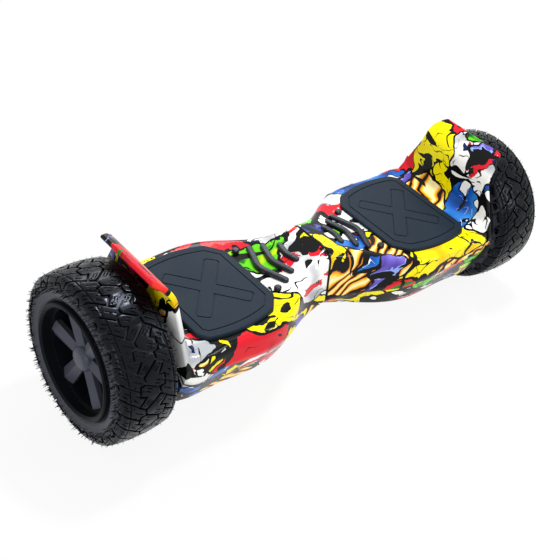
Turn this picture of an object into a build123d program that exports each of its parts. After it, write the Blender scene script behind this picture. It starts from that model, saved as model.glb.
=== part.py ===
from build123d import *
import math
import os

# A self-balancing hoverboard: two casing halves that twist on a pivot tube, a hub-motor wheel
# at each end and a sprung foot pad on each half. Millimetres, +X along the axle line, +Z up,
# origin on the floor under the middle of the board. Every piece of a half is drawn on the +X
# side and mirrored for the other half.

os.makedirs("parts", exist_ok=True)

# ---------------------------------------------------------------- driving dimensions
# Wheels
tyre_radius = 110.0
tyre_width = 81.0
wheel_outer_x = 365.0           # outer sidewall of a tyre from the middle of the board
rim_radius = 72.0               # bead seat
rim_wall = 6.0
rim_lip_height = 2.5            # rim flange above the bead seat
rim_lip_reach = 1.5             # how far the outer rim lip stands proud of the sidewall
tyre_crown = 9.0                # rubber under the tread
tyre_sidewall = 5.0
tyre_belt_inset = 0.6
tyre_shoulder = (5.0, 3.4)      # where the tread meets the sidewall, from the full width and radius
tread_blocks = 24
tread_depth = 4.0
tread_groove = 3.0
rib_skew = 0.6                  # slant of the cross grooves in the middle rib and the lugs
lug_skew = 0.3
lug_tilt = 17.0                 # degrees that the lugs' grooves lean with the shoulder
lug_drop = 2.0
tread_rib = 30.0                # between the middles of the two circumferential grooves
bead_reach = 34.5               # outer face of each bead from the tyre's middle plane
bead_width = 5.0

# Hub motor
motor_length = 42.0             # inner face of the motor cover to the hub shell's end wall
end_wall = 5.0
magnet_thickness = 3.0
air_gap = 0.8
stator_length = 24.0
stator_slots = 18
stator_slot_depth = 22.0
cover_screws = 6
axle_radius = 8.0
axle_collar_radius = 12.0
bearing_radius = 16.0
bearing_width = 9.0
running_clearance = 0.05
axle_end_gap = 1.0              # axle end behind the turning hub cover

# Spoked hub cover
spoke_count = 6
spoke_root_width = 18.0
spoke_end_width = 24.0
spoke_recess = 12.0             # ring face behind the outer sidewall
spoke_thickness = 12.0
spoke_ridge = 5.0               # height of the ridge above the spoke's edges
cover_ring_width = 4.5
dish_wall = 4.0
nose_radius = 18.0
nose_tip_radius = 10.0
nose_sides = 6
nose_reach = 9.0                # nose tip behind the outer sidewall

# Casing. Every height of the casing and of what it holds is measured from the axle line.
wheel_gap = 16.0                # casing end to the tyre's inner sidewall
seam_gap = 1.0
casing_wall = 3.0
parting_step = 0.7              # how far the bottom casing stands back at the joint
waist_half_width = 47.5
deck_half_width = 99.5
flare_length = 144.0
end_taper = 6.0
deck_rise = 30.0
waist_rise = 22.0               # the top's rise towards the seam
waist_rise_length = 105.0
belt_drop = 24.0                # widest line of the casing, at the seam
belt_climb = 21.0               # its rise towards the wheel
shoulder_inset = 8.0            # deck edge behind the widest line, at the seam
shoulder_gain = 7.2             # how much of that is lost towards the wheel
deck_bend = 18.0                # rounding along the deck's edge, at the seam
deck_bend_loss = 6.0            # what it loses towards the wheel
belt_bend = 12.0
belt_bend_gain = 8.0
belly_bend = 10.0
belly_drop = 56.0
belly_rise = 19.0
belly_rise_length = 110.0
belly_inset = 10.0              # underside's edge behind the widest line, at the seam
belly_gain = 11.0               # what is added to that towards the wheel
parting_drop = 30.0             # joint of the top and bottom casings, at the seam
parting_slope = 0.129           # its rise towards the wheel

# Fender
fender_thickness = 7.0
fender_face_x = 264.0           # deck side of the fender
cove_radius = 24.0
fender_lean_rise = 86.0
fender_top_rise = 130.0
fender_tip_x = 296.0
fender_shoulder_half_width = 66.0
fender_top_half_width = 61.0
fender_top_corner = 24.0
fender_flank_bend = 30.0
fender_foot_bend = 24.0
fender_foot_flank = 14.0        # upright part of its flank above the joint
fender_edge_radius = 2.5
axle_opening_gap = 7.0
pivot_opening_radius = 22.0

# Foot pad
pad_inner_x = 104.0
pad_outer_x = 235.0
pad_half_width = 82.5
pad_inner_straight = 51.0       # half length of its edge towards the seam
pad_corner_radius = 11.0
pad_corner_cut = (19.0, 9.0)     # inner corners, along and across
pad_outer_cut = (10.0, 12.0)
pad_thickness = 8.0
pad_proud = 5.0                 # pad top above the deck
pad_travel = 1.5
pad_stop_gap = 0.5              # left under the pad when it is fully pressed
pad_clearance = 0.5
pad_edge_radius = 2.5
pad_rim = 8.0                   # solid rubber round the pocket in the pad's underside
pad_pocket = 4.0
groove_width = 1.6
groove_depth = 1.2
border_inset = 11.0
relief_arm_width = 19.0
relief_half_length = 38.0
relief_half_width = 43.0
relief_corner = 4.0

# Grip bars: end and apex distances from the seam, half length across, top above the deck
grip_bars = [(74.0, 89.0, 38.0, 8.0), (58.0, 67.0, 29.0, 10.5), (40.0, 44.0, 17.0, 14.5)]
grip_bar_width = 8.5
grip_bend_radius = 25.0
grip_dot_place = (92.0, 44.0)
grip_dot_radius = 5.0
grip_dot_proud = 6.5
grip_edge_radius = 2.0

# Frame and pivot
washer_thickness = 1.4
circlip_thickness = 1.2
circlip_depth = 1.2
end_float = 0.1
rib_thickness = 5.0
rib_drop = 16.0                 # foot of the ribs below the axle line
saddle_depth = 20.0
clamp_x = 228.0
clamp_gap = 0.5
standoff_radius = 3.0
pivot_radius = 16.0
pivot_bore = 12.0
bush_wall = 2.0
bush_length = 18.0
bush_flange = 1.5
boss_radius = 24.0
boss_start_x = 6.0
boss_end_x = 72.0
frame_rise = 8.0                # frame's top above the axle line
frame_web = 5.0
channel_start_x = 92.0
channel_end_x = 200.0
channel_half_width = 51.5
flange_thickness = 6.0
flange_drop = 48.0
saddle_end_x = 252.0
saddle_half_width = 24.0
clamp_height = 14.0
clamp_length = 36.0
clamp_screw_radius = 3.0
clamp_screw_spread = 16.0
axle_inner_x = 204.0

# Electrics
battery_size = (96.0, 84.0, 40.0)
plate_thickness = 2.5           # steel plate that closes each frame's bay
board_thickness = 1.6
main_board_size = (84.0, 70.0)
main_board_y = -8.0
heat_sink_size = (56.0, 26.0, 8.0)
heat_sink_fins = 5
switch_board_size = (64.0, 60.0)
switch_x = 146.0
switch_spread = 20.0            # switches in front of and behind the axle line
standoff_height = 3.0
plunger_radius = 3.2
blade_thickness = 1.2
blade_clearance = 0.4

# Parts on the main board
capacitor_radius = 6.5
capacitor_height = 16.0
capacitor_pitch = 20.0
connector_size = (11.0, 8.0, 8.0)
connector_pitch = 17.0
board_post_radius = 3.0
switch_size = (8.0, 9.0, 5.0)
chip_size = (10.0, 10.0, 1.2)
plug_size = (6.0, 18.0, 5.0)
solder_sink = 0.5               # how far parts on a board reach into it
fin_gap = 2.0
sink_plate = 3.0

# Button and charging socket, on the far side of the right half
button_x = 128.0
button_rise = 10.0
button_radius = 7.0
button_depth = 12.0
button_proud = 2.5
button_fit = 0.1
button_travel = 1.2
bezel_radius = 10.0
bezel_wall = 1.5
bezel_proud = 1.5
socket_x = 172.0
socket_rise = 10.0
socket_radius = 9.0
socket_bore = 6.5
socket_depth = 12.0
socket_flange = 12.0
pin_length = 5.5
pin_circle = 3.0
pin_radius = 0.9

# Casing screws: places on one half, mirrored across the axle line
screw_places = [(62.0, 33.0), (130.0, 62.0), (236.0, 62.0)]
screw_radius = 2.0
screw_head_radius = 4.0
screw_head_height = 3.0
screw_engagement = 12.0         # screw length held in the top casing's post
post_radius = 5.5
boss_recess = 8.0

# ---------------------------------------------------------------- worked-out places
axle_z = tyre_radius
deck_height = axle_z + deck_rise
belly_height = axle_z - belly_drop
parting_height = axle_z - parting_drop
fender_lean_height = axle_z + fender_lean_rise
fender_top_height = axle_z + fender_top_rise
frame_top = axle_z + frame_rise
flange_bottom = axle_z - flange_drop
button_z = axle_z + button_rise
socket_z = axle_z + socket_rise
wheel_inner_x = wheel_outer_x - tyre_width
wheel_mid_x = wheel_outer_x - tyre_width / 2
body_end = wheel_inner_x - wheel_gap
seam_x = seam_gap / 2
tray_floor = deck_height + pad_proud - pad_thickness - pad_travel - pad_stop_gap
pad_bottom = deck_height + pad_proud - pad_thickness
pad_top = deck_height + pad_proud
wheel_plane = Plane(origin=(0, 0, axle_z), x_dir=(0, 1, 0), z_dir=(1, 0, 0))
profile_plane = Plane(origin=(0, 0, axle_z), x_dir=(1, 0, 0), z_dir=(0, -1, 0))
axle_axis = Axis((0, 0, axle_z), (1, 0, 0))
parting_plane = Plane(
    origin=(0, 0, parting_height),
    x_dir=(1, 0, parting_slope),
    z_dir=(-parting_slope, 0, 1),
)


def ease(t):
    """Return a smooth step from 0 to 1 for t from 0 to 1."""
    t = min(max(t, 0.0), 1.0)
    return t * t * (3 - 2 * t)


def half_width(x):
    """Return the casing's half width at distance x from the seam."""
    flare = (deck_half_width - waist_half_width) * ease(x / flare_length)
    beyond = max(0.0, x - flare_length) / (body_end - flare_length)
    return waist_half_width + flare - end_taper * beyond**2


def deck_z(x):
    """Return the height of the deck at distance x from the seam."""
    return deck_height + waist_rise * max(0.0, 1 - x / waist_rise_length) ** 1.5


def belly_z(x):
    """Return the height of the underside at distance x from the seam."""
    return belly_height + belly_rise * max(0.0, 1 - x / belly_rise_length) ** 2


def parting_z(x):
    """Return the height of the joint between the casings at distance x from the seam."""
    return parting_height + parting_slope * x


def section(x, inset):
    """Return the casing's cross-section at x, drawn in by inset all round."""
    flare = ease(x / flare_length)
    width = half_width(x)
    shoulder = width - shoulder_inset + shoulder_gain * flare
    belt_z = axle_z - belt_drop + belt_climb * flare
    belly_half = width - belly_inset - belly_gain * flare
    corners = [(shoulder, deck_z(x)), (width, belt_z), (belly_half, belly_z(x))]
    far_corners = [(-y, z) for y, z in reversed(corners)]
    with BuildSketch(Plane.YZ.offset(x)) as outline:
        with BuildLine():
            Polyline(corners + far_corners, close=True)
        make_face()
        fillet(outline.vertices().group_by(Axis.Y)[-1], deck_bend - deck_bend_loss * flare)
        fillet(outline.vertices().sort_by(Axis.X)[0], belt_bend + belt_bend_gain * flare)
        fillet(outline.vertices().sort_by(Axis.X)[-1], belt_bend + belt_bend_gain * flare)
        fillet(outline.vertices().group_by(Axis.Y)[0], belly_bend)
        if inset > 0:
            offset(amount=-inset, mode=Mode.REPLACE)
    return outline.sketch


def block(x0, x1, y0, y1, z0, z1):
    """Return a box between the given limits."""
    size = (x1 - x0, y1 - y0, z1 - z0)
    centre = ((x0 + x1) / 2, (y0 + y1) / 2, (z0 + z1) / 2)
    with BuildPart(Plane(origin=centre)) as solid:
        Box(*size)
    return solid.part


def disc(x0, x1, outer, inner=0.0):
    """Return a disc or ring about the axle line, from x0 to x1."""
    with BuildPart() as solid:
        with BuildSketch(wheel_plane.offset(x0)):
            Circle(outer)
            if inner > 0:
                Circle(inner, mode=Mode.SUBTRACT)
        extrude(amount=x1 - x0)
    return solid.part


def post(x, y, z0, z1, radius):
    """Return an upright cylinder at (x, y) from z0 to z1."""
    with BuildPart() as solid:
        with BuildSketch(Plane((x, y, z0))):
            Circle(radius)
        extrude(amount=z1 - z0)
    return solid.part


def barrel(x, z, y0, y1, radius):
    """Return a cylinder along Y at (x, z) from y0 to y1."""
    with BuildPart() as solid:
        with BuildSketch(Plane(origin=(x, y0, z), x_dir=(-1, 0, 0), z_dir=(0, 1, 0))):
            Circle(radius)
        extrude(amount=y1 - y0)
    return solid.part


def write(solid, name):
    """Label a finished piece and write it."""
    solid.label = name
    export_step(solid, f"parts/{name}.step")


def write_pair(solid, name):
    """Write a piece of the right half and its mirror image for the left half."""
    with BuildPart() as mirrored:
        mirror(solid, about=Plane.YZ)
    write(solid, f"right_{name}")
    write(mirrored.part, f"left_{name}")


# ---------------------------------------------------------------- casing forms
casing_stations = [seam_x, 40.0, 80.0, 120.0, 160.0, 210.0, body_end]
cavity_stations = [seam_x + casing_wall] + casing_stations[1:-1] + [body_end - casing_wall]

with BuildPart() as body_form:
    loft(sections=[section(x, 0) for x in casing_stations])

with BuildPart() as lower_form:
    loft(sections=[section(x, parting_step) for x in casing_stations])

with BuildPart() as cavity_form:
    loft(sections=[section(x, casing_wall) for x in cavity_stations])


# The fender leans out over the tyre. Its side profile is cut to its front outline.
fender_foot_z = parting_z(body_end) + 1
fender_half_width = half_width(body_end) + 4
with BuildPart() as fender_form:
    with BuildSketch(Plane.XZ) as fender_profile:
        with BuildLine():
            rise = Line((fender_face_x, fender_foot_z), (fender_face_x + 2, fender_lean_height))
            lean = TangentArc(rise @ 1, (fender_tip_x, fender_top_height), tangent=rise % 1)
            tip_normal = Vector((lean % 1).Y, -(lean % 1).X) * fender_thickness
            rise_normal = Vector((rise % 1).Y, -(rise % 1).X) * fender_thickness
            tip = Line(lean @ 1, (lean @ 1) + tip_normal)
            back_start = (rise @ 1) + rise_normal
            under = TangentArc(back_start, tip @ 1, tangent=rise % 1)
            Line(back_start, (rise @ 0) + rise_normal)
            Line((rise @ 0) + rise_normal, rise @ 0)
        make_face()
    extrude(amount=fender_half_width, both=True)
    with BuildSketch(Plane.YZ.offset(body_end - 30)) as fender_outline:
        with BuildLine():
            Polyline(
                (fender_half_width, fender_foot_z - 1),
                (fender_half_width, fender_foot_z + fender_foot_flank),
                (fender_shoulder_half_width, fender_lean_height + 5),
                (fender_top_half_width, fender_top_height + 1),
                (-fender_top_half_width, fender_top_height + 1),
                (-fender_shoulder_half_width, fender_lean_height + 5),
                (-fender_half_width, fender_foot_z + fender_foot_flank),
                (-fender_half_width, fender_foot_z - 1),
                close=True,
            )
        make_face()
        heights = fender_outline.vertices().group_by(Axis.Y)
        fillet(heights[-1], fender_top_corner)
        fillet(heights[-2], fender_flank_bend)
        fillet(heights[-3], fender_foot_bend)
    extrude(amount=80, mode=Mode.INTERSECT)


def cove_section(t):
    """Return the cove's cross-section at fraction t of its run from the deck to the fender."""
    run = t * cove_radius
    top = deck_height + cove_radius - math.sqrt(cove_radius**2 - run**2)
    foot_half = deck_half_width - 18 + (fender_half_width - deck_half_width + 17) * t**2
    top_half = deck_half_width - 20 + 5 * t
    with BuildSketch(Plane.YZ.offset(fender_face_x + 2 - cove_radius + run)) as outline:
        with BuildLine():
            Polyline(
                (foot_half, fender_foot_z),
                (top_half, top),
                (-top_half, top),
                (-foot_half, fender_foot_z),
                close=True,
            )
        make_face()
    return outline.sketch


with BuildPart() as cove_form:
    loft(sections=[cove_section(t) for t in (0.0, 0.35, 0.6, 0.8, 0.93, 1.0)])

with BuildPart() as outer_form:
    add(fender_form.part)
    rim_span = (deck_height + 12, fender_top_height + 12)
    fillet(outer_form.edges().filter_by_position(Axis.Z, *rim_span), fender_edge_radius)
    add(body_form.part)
    add(cove_form.part)


# ---------------------------------------------------------------- foot pad outline
def pad_outline(grow):
    """Return the foot pad's plan outline, grown by grow all round."""
    with BuildSketch() as outline:
        with BuildLine():
            inner_turn = (pad_inner_x + pad_corner_cut[0], pad_half_width - pad_corner_cut[1])
            outer_turn = (pad_outer_x - pad_outer_cut[0], pad_half_width - pad_outer_cut[1] / 2)
            outer_end = (pad_outer_x, outer_turn[1] - pad_outer_cut[1])
            Polyline((pad_inner_x, 0), (pad_inner_x, pad_inner_straight), inner_turn)
            middle = ((pad_inner_x + pad_outer_x) / 2 + 6, pad_half_width)
            ThreePointArc(inner_turn, middle, outer_turn)
            Polyline(outer_turn, outer_end, (pad_outer_x, 0))
            mirror(about=Plane.XZ)
        make_face()
        fillet([v for v in outline.vertices() if abs(v.Y) > 1], pad_corner_radius)
        if grow:
            offset(amount=grow, mode=Mode.REPLACE)
    return outline.sketch


def screw_spots():
    """Return the casing screws' places on one half."""
    return [(x, side * y) for x, y in screw_places for side in (-1, 1)]


# ---------------------------------------------------------------- top casing
axle_opening = disc(body_end - 10, body_end + 20, axle_radius + axle_opening_gap)
pivot_opening = disc(-seam_gap, boss_start_x - 0.5, pivot_opening_radius)
switch_spots = [(switch_x, -switch_spread), (switch_x, switch_spread)]

with BuildPart() as top_casing:
    add(outer_form.part)
    add(cavity_form.part, mode=Mode.SUBTRACT)
    with BuildSketch(Plane.XY.offset(tray_floor - casing_wall)):
        add(pad_outline(pad_clearance + casing_wall))
    extrude(amount=deck_height - tray_floor + casing_wall - 0.5)
    for x, y in screw_spots():
        over_pad = x > pad_inner_x
        ceiling = tray_floor - casing_wall if over_pad else deck_z(x) - casing_wall
        add(post(x, y, parting_z(x) - 2, ceiling + 1, post_radius))
    with BuildSketch(Plane.XY.offset(tray_floor)):
        add(pad_outline(pad_clearance))
    extrude(amount=30, mode=Mode.SUBTRACT)
    for x, y in switch_spots:
        add(post(x, y, tray_floor - 10, tray_floor + 1, plunger_radius + 1), mode=Mode.SUBTRACT)
    for x, y in screw_spots():
        hole_top = parting_z(x) + screw_engagement + 0.5
        add(post(x, y, parting_z(x) - 5, hole_top, screw_radius), mode=Mode.SUBTRACT)
    add(axle_opening, mode=Mode.SUBTRACT)
    add(pivot_opening, mode=Mode.SUBTRACT)
    split(bisect_by=parting_plane, keep=Keep.TOP)

# The button and the charging socket pass through the far side of the right top casing.
button_face = half_width(button_x)
socket_face = half_width(socket_x)
with BuildPart() as right_top_casing:
    add(top_casing.part)
    add(barrel(button_x, button_z, 60, 110, button_radius + bezel_wall), mode=Mode.SUBTRACT)
    add(barrel(socket_x, socket_z, 60, 110, socket_radius), mode=Mode.SUBTRACT)
write(right_top_casing.part, "right_top_casing")

with BuildPart() as left_top_casing:
    mirror(top_casing.part, about=Plane.YZ)
write(left_top_casing.part, "left_top_casing")


# ---------------------------------------------------------------- bottom casing
with BuildPart() as bottom_posts:
    for x, y in screw_spots():
        add(post(x, y, belly_z(x) - 1, parting_z(x) + 2, post_radius))
    add(lower_form.part, mode=Mode.INTERSECT)

with BuildPart() as bottom_casing:
    add(lower_form.part)
    add(cavity_form.part, mode=Mode.SUBTRACT)
    add(bottom_posts.part)
    for x, y in screw_spots():
        ledge = belly_z(x) + boss_recess
        add(post(x, y, 0, ledge, screw_head_radius + 0.3), mode=Mode.SUBTRACT)
        add(post(x, y, 0, parting_z(x) + 5, screw_radius + 0.2), mode=Mode.SUBTRACT)
    add(axle_opening, mode=Mode.SUBTRACT)
    add(pivot_opening, mode=Mode.SUBTRACT)
    split(bisect_by=parting_plane, keep=Keep.BOTTOM)
write_pair(bottom_casing.part, "bottom_casing")

with BuildPart() as casing_screws:
    for x, y in screw_spots():
        ledge = belly_z(x) + boss_recess
        add(post(x, y, ledge - screw_head_height, ledge, screw_head_radius))
        add(post(x, y, ledge, parting_z(x) + screw_engagement, screw_radius))
write_pair(casing_screws.part, "casing_screws")


# ---------------------------------------------------------------- foot pad and its plungers
def relief_cross(grow):
    """Return the pad's crossed relief, grown by grow all round."""
    centre = ((pad_inner_x + pad_outer_x) / 2 + 1, 0)
    slope = math.degrees(math.atan2(relief_half_width, relief_half_length))
    length = 2 * math.hypot(relief_half_length, relief_half_width)
    with BuildSketch() as cross:
        with Locations(centre):
            for turn in (slope, -slope):
                RectangleRounded(
                    length + 2 * grow,
                    relief_arm_width + 2 * grow,
                    relief_corner + grow,
                    rotation=turn,
                )
    return cross.sketch


with BuildPart() as pad_pockets:
    with BuildSketch(Plane.XY.offset(pad_bottom)):
        add(pad_outline(-pad_rim))
    extrude(amount=pad_pocket)
    for x, y in switch_spots:
        add(post(x, y, pad_bottom - 1, pad_top, plunger_radius + 3), mode=Mode.SUBTRACT)
    for y in (-switch_spread, switch_spread):
        rib = (y - 1.5, y + 1.5, pad_bottom - 1, pad_top)
        add(block(pad_inner_x, pad_outer_x, *rib), mode=Mode.SUBTRACT)
    rib = (-pad_half_width, pad_half_width, pad_bottom - 1, pad_top)
    add(block(switch_x - 1.5, switch_x + 1.5, *rib), mode=Mode.SUBTRACT)

with BuildPart() as foot_pad:
    with BuildSketch(Plane.XY.offset(pad_bottom)):
        add(pad_outline(0))
    extrude(amount=pad_thickness)
    fillet(foot_pad.edges().group_by(Axis.Z)[-1], pad_edge_radius)
    add(pad_pockets.part, mode=Mode.SUBTRACT)
    with BuildSketch(Plane.XY.offset(pad_top)):
        add(pad_outline(-border_inset))
        add(pad_outline(-border_inset - groove_width), mode=Mode.SUBTRACT)
    extrude(amount=-groove_depth, mode=Mode.SUBTRACT)
    with BuildSketch(Plane.XY.offset(pad_top)):
        add(relief_cross(groove_width / 2))
        add(relief_cross(-groove_width / 2), mode=Mode.SUBTRACT)
    extrude(amount=-groove_depth, mode=Mode.SUBTRACT)
write_pair(foot_pad.part, "foot_pad")

blade_bottom = frame_top + standoff_height + board_thickness + 1 + blade_clearance + pad_travel
with BuildPart() as switch_plungers:
    for x, y in switch_spots:
        add(post(x, y, tray_floor - 4, pad_bottom, plunger_radius))
        half = blade_thickness / 2
        add(block(x - 3, x + 3, y - half, y + half, blade_bottom, tray_floor - 3))
write_pair(switch_plungers.part, "switch_plungers")


# ---------------------------------------------------------------- grip bars
with BuildPart() as grip_bars_part:
    for end_x, apex_x, half_length, top in grip_bars:
        with BuildSketch(Plane.XY.offset(deck_height - 5)):
            with BuildLine():
                FilletPolyline(
                    (end_x, -half_length),
                    (apex_x, 0),
                    (end_x, half_length),
                    radius=grip_bend_radius,
                )
            trace(line_width=grip_bar_width)
            with Locations((end_x, -half_length), (end_x, half_length)):
                Circle(grip_bar_width / 2)
        extrude(amount=top + 5)
    for side in (-1, 1):
        x, y = grip_dot_place
        dot_top = deck_height + grip_dot_proud
        add(post(x, side * y, deck_height - 5, dot_top, grip_dot_radius))
    crests = grip_bars_part.edges().filter_by_position(Axis.Z, deck_height + 5, deck_height + 60)
    fillet(crests, grip_edge_radius)
    add(body_form.part, mode=Mode.SUBTRACT)
write_pair(grip_bars_part.part, "grip_bars")


# ---------------------------------------------------------------- cast frame
def frame_casting(bore_radius):
    """Return one half's cast frame, its pivot boss bored to bore_radius."""
    web_z = frame_top - frame_web
    with BuildPart() as frame:
        add(disc(boss_start_x, boss_end_x, boss_radius))
        with BuildSketch(Plane.XY.offset(web_z)):
            with BuildLine():
                Polyline(
                    (boss_start_x + 8, -boss_radius - 4),
                    (boss_start_x + 8, boss_radius + 4),
                    (boss_end_x - 30, boss_radius + 4),
                    (channel_start_x, channel_half_width),
                    (channel_end_x, channel_half_width),
                    (channel_end_x + 8, saddle_half_width),
                    (channel_end_x + 8, -saddle_half_width),
                    (channel_end_x, -channel_half_width),
                    (channel_start_x, -channel_half_width),
                    (boss_end_x - 30, -boss_radius - 4),
                    close=True,
                )
            make_face()
        extrude(amount=frame_web)
        # side flanges and the two bulkheads that close the battery bay
        for side in (-1, 1):
            outer = side * channel_half_width
            inner = side * (channel_half_width - flange_thickness)
            limits = (min(outer, inner), max(outer, inner))
            add(block(channel_start_x, channel_end_x, *limits, flange_bottom, web_z + 1))
        bay = (-channel_half_width, channel_half_width, flange_bottom, web_z + 1)
        add(block(channel_start_x, channel_start_x + rib_thickness, *bay))
        add(block(channel_end_x - rib_thickness, channel_end_x, *bay))
        # a rib each side from the boss to the first bulkhead
        for y in (-boss_radius, boss_radius):
            rib = (y - rib_thickness / 2, y + rib_thickness / 2, axle_z - rib_drop, web_z + 1)
            add(block(boss_start_x + 12, channel_start_x + 1, *rib))
        # axle saddle
        saddle = (-saddle_half_width, saddle_half_width, axle_z - saddle_depth, axle_z)
        add(block(channel_end_x - 1, saddle_end_x, *saddle))
        add(block(channel_end_x - 1, channel_end_x + 4, *saddle[:2], axle_z - 1, web_z + 1))
        for x, y in standoff_spots():
            add(post(x, y, frame_top - 1, frame_top + standoff_height, standoff_radius))
        # bores, room for the pivot's washer and circlip, and room round the casing's posts
        add(disc(boss_start_x - 1, boss_end_x + 1, bore_radius), mode=Mode.SUBTRACT)
        add(disc(boss_end_x, channel_start_x, boss_radius), mode=Mode.SUBTRACT)
        for x, y in screw_spots():
            add(post(x, y, flange_bottom, frame_top + 1, post_radius + 1.5), mode=Mode.SUBTRACT)
        add(disc(channel_end_x + 4, saddle_end_x + 1, axle_radius), mode=Mode.SUBTRACT)
        for x, y in clamp_screw_spots():
            add(
                post(x, y, axle_z - saddle_depth + 3, axle_z + 1, clamp_screw_radius),
                mode=Mode.SUBTRACT,
            )
    return frame.part


def standoff_spots():
    """Return the places of the switch board's standoffs."""
    reach_x = switch_board_size[0] / 2 - 4
    reach_y = switch_board_size[1] / 2 - 4
    return [(switch_x + i * reach_x, j * reach_y) for i in (-1, 1) for j in (-1, 1)]


def clamp_screw_spots():
    """Return the places of the axle clamp's screws."""
    reach = clamp_length / 2 - 7
    return [(clamp_x + i * reach, j * clamp_screw_spread) for i in (-1, 1) for j in (-1, 1)]


bush_outer = pivot_radius + running_clearance + bush_wall
write(frame_casting(bush_outer), "right_frame")
with BuildPart() as left_frame:
    mirror(frame_casting(pivot_radius), about=Plane.YZ)
write(left_frame.part, "left_frame")

# ---------------------------------------------------------------- pivot
# The tube is clamped in the left frame. The right frame turns on it through two flanged
# bushes, held endways between the tube's collar and a washer with a circlip.
bush_face = boss_start_x - bush_flange
washer_x = boss_end_x + bush_flange + end_float
circlip_x = washer_x + washer_thickness
tube_end = circlip_x + circlip_thickness + 3

with BuildPart() as pivot_tube:
    add(disc(-boss_end_x + 4, tube_end, pivot_radius))
    add(disc(-boss_start_x, bush_face - end_float, pivot_radius + 4))
    add(disc(-boss_end_x, tube_end + 1, pivot_bore), mode=Mode.SUBTRACT)
    add(
        disc(circlip_x, circlip_x + circlip_thickness, pivot_radius + 1, pivot_radius - circlip_depth),
        mode=Mode.SUBTRACT,
    )
write(pivot_tube.part, "pivot_tube")

with BuildPart() as pivot_bushes:
    bore = pivot_radius + running_clearance
    add(disc(boss_start_x, boss_start_x + bush_length, bush_outer, bore))
    add(disc(bush_face, boss_start_x, bush_outer + 3, bore))
    add(disc(boss_end_x - bush_length, boss_end_x, bush_outer, bore))
    add(disc(boss_end_x, boss_end_x + bush_flange, bush_outer + 3, bore))
write(pivot_bushes.part, "pivot_bushes")

write(disc(washer_x, circlip_x, pivot_radius + 6, pivot_radius), "thrust_washer")

with BuildPart() as circlip:
    ring = (pivot_radius + 2.5, pivot_radius - circlip_depth)
    add(disc(circlip_x, circlip_x + circlip_thickness, *ring))
    gap = (-3, 3, axle_z + pivot_radius - 3, axle_z + pivot_radius + 4)
    add(block(circlip_x - 1, circlip_x + 3, *gap), mode=Mode.SUBTRACT)
write(circlip.part, "pivot_circlip")

# ---------------------------------------------------------------- axle clamp
with BuildPart() as axle_clamp:
    start = clamp_x - clamp_length / 2
    clamp_foot = axle_z + clamp_gap
    width = (-saddle_half_width, saddle_half_width)
    add(block(start, start + clamp_length, *width, clamp_foot, axle_z + clamp_height))
    fillet(axle_clamp.edges().filter_by(Axis.X).group_by(Axis.Z)[-1], 4)
    add(disc(start - 1, start + clamp_length + 1, axle_radius), mode=Mode.SUBTRACT)
    for x, y in clamp_screw_spots():
        add(post(x, y, axle_z - 1, axle_z + clamp_height + 1, clamp_screw_radius), mode=Mode.SUBTRACT)
write_pair(axle_clamp.part, "axle_clamp")

with BuildPart() as clamp_screws:
    top = axle_z + clamp_height
    for x, y in clamp_screw_spots():
        add(post(x, y, axle_z - saddle_depth + 4, top, clamp_screw_radius))
        add(post(x, y, top, top + 4, clamp_screw_radius + 2))
        with BuildSketch(Plane((x, y, top + 4))):
            RegularPolygon(2.8, 6)
        extrude(amount=-2.5, mode=Mode.SUBTRACT)
write_pair(clamp_screws.part, "clamp_screws")

# ---------------------------------------------------------------- hub motor
cover_x = wheel_inner_x + 1
motor_end_x = cover_x + motor_length
bearing_inner_x = cover_x + 3
bearing_outer_x = motor_end_x + end_wall - bearing_width
collar_start = bearing_inner_x + bearing_width + 0.3
collar_end = bearing_outer_x - 0.3
stator_x = (collar_start + collar_end - stator_length) / 2
magnet_outer = rim_radius - rim_wall
stator_outer = magnet_outer - magnet_thickness - air_gap

with BuildPart() as axle:
    add(disc(axle_inner_x, collar_start, axle_radius))
    add(disc(collar_start, collar_end, axle_collar_radius))
    add(disc(collar_end, bearing_outer_x + bearing_width - axle_end_gap, axle_radius))
    chamfer(axle.edges().group_by(Axis.X)[0], 1)
write_pair(axle.part, "axle")

with BuildPart() as stator:
    add(disc(stator_x, stator_x + stator_length, stator_outer, axle_collar_radius))
    slot = block(
        stator_x - 1,
        stator_x + stator_length + 1,
        stator_outer - stator_slot_depth,
        stator_outer - 3,
        axle_z - 2.5,
        axle_z + 2.5,
    )
    mouth = block(
        stator_x - 1,
        stator_x + stator_length + 1,
        stator_outer - 4,
        stator_outer + 2,
        axle_z - 1,
        axle_z + 1,
    )
    turn = 360 / stator_slots
    cutters = [c.rotate(axle_axis, turn * k) for k in range(stator_slots) for c in (slot, mouth)]
    add(cutters, mode=Mode.SUBTRACT)
write_pair(stator.part, "stator")

magnet_x = stator_x - 2
magnet_ring = disc(magnet_x, magnet_x + stator_length + 4, magnet_outer, magnet_outer - magnet_thickness)
write_pair(magnet_ring, "magnet_ring")

with BuildPart() as hub_bearings:
    inner = axle_radius + running_clearance
    add(disc(bearing_inner_x, bearing_inner_x + bearing_width, bearing_radius, inner))
    add(disc(bearing_outer_x, bearing_outer_x + bearing_width, bearing_radius, inner))
write_pair(hub_bearings.part, "hub_bearings")

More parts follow.
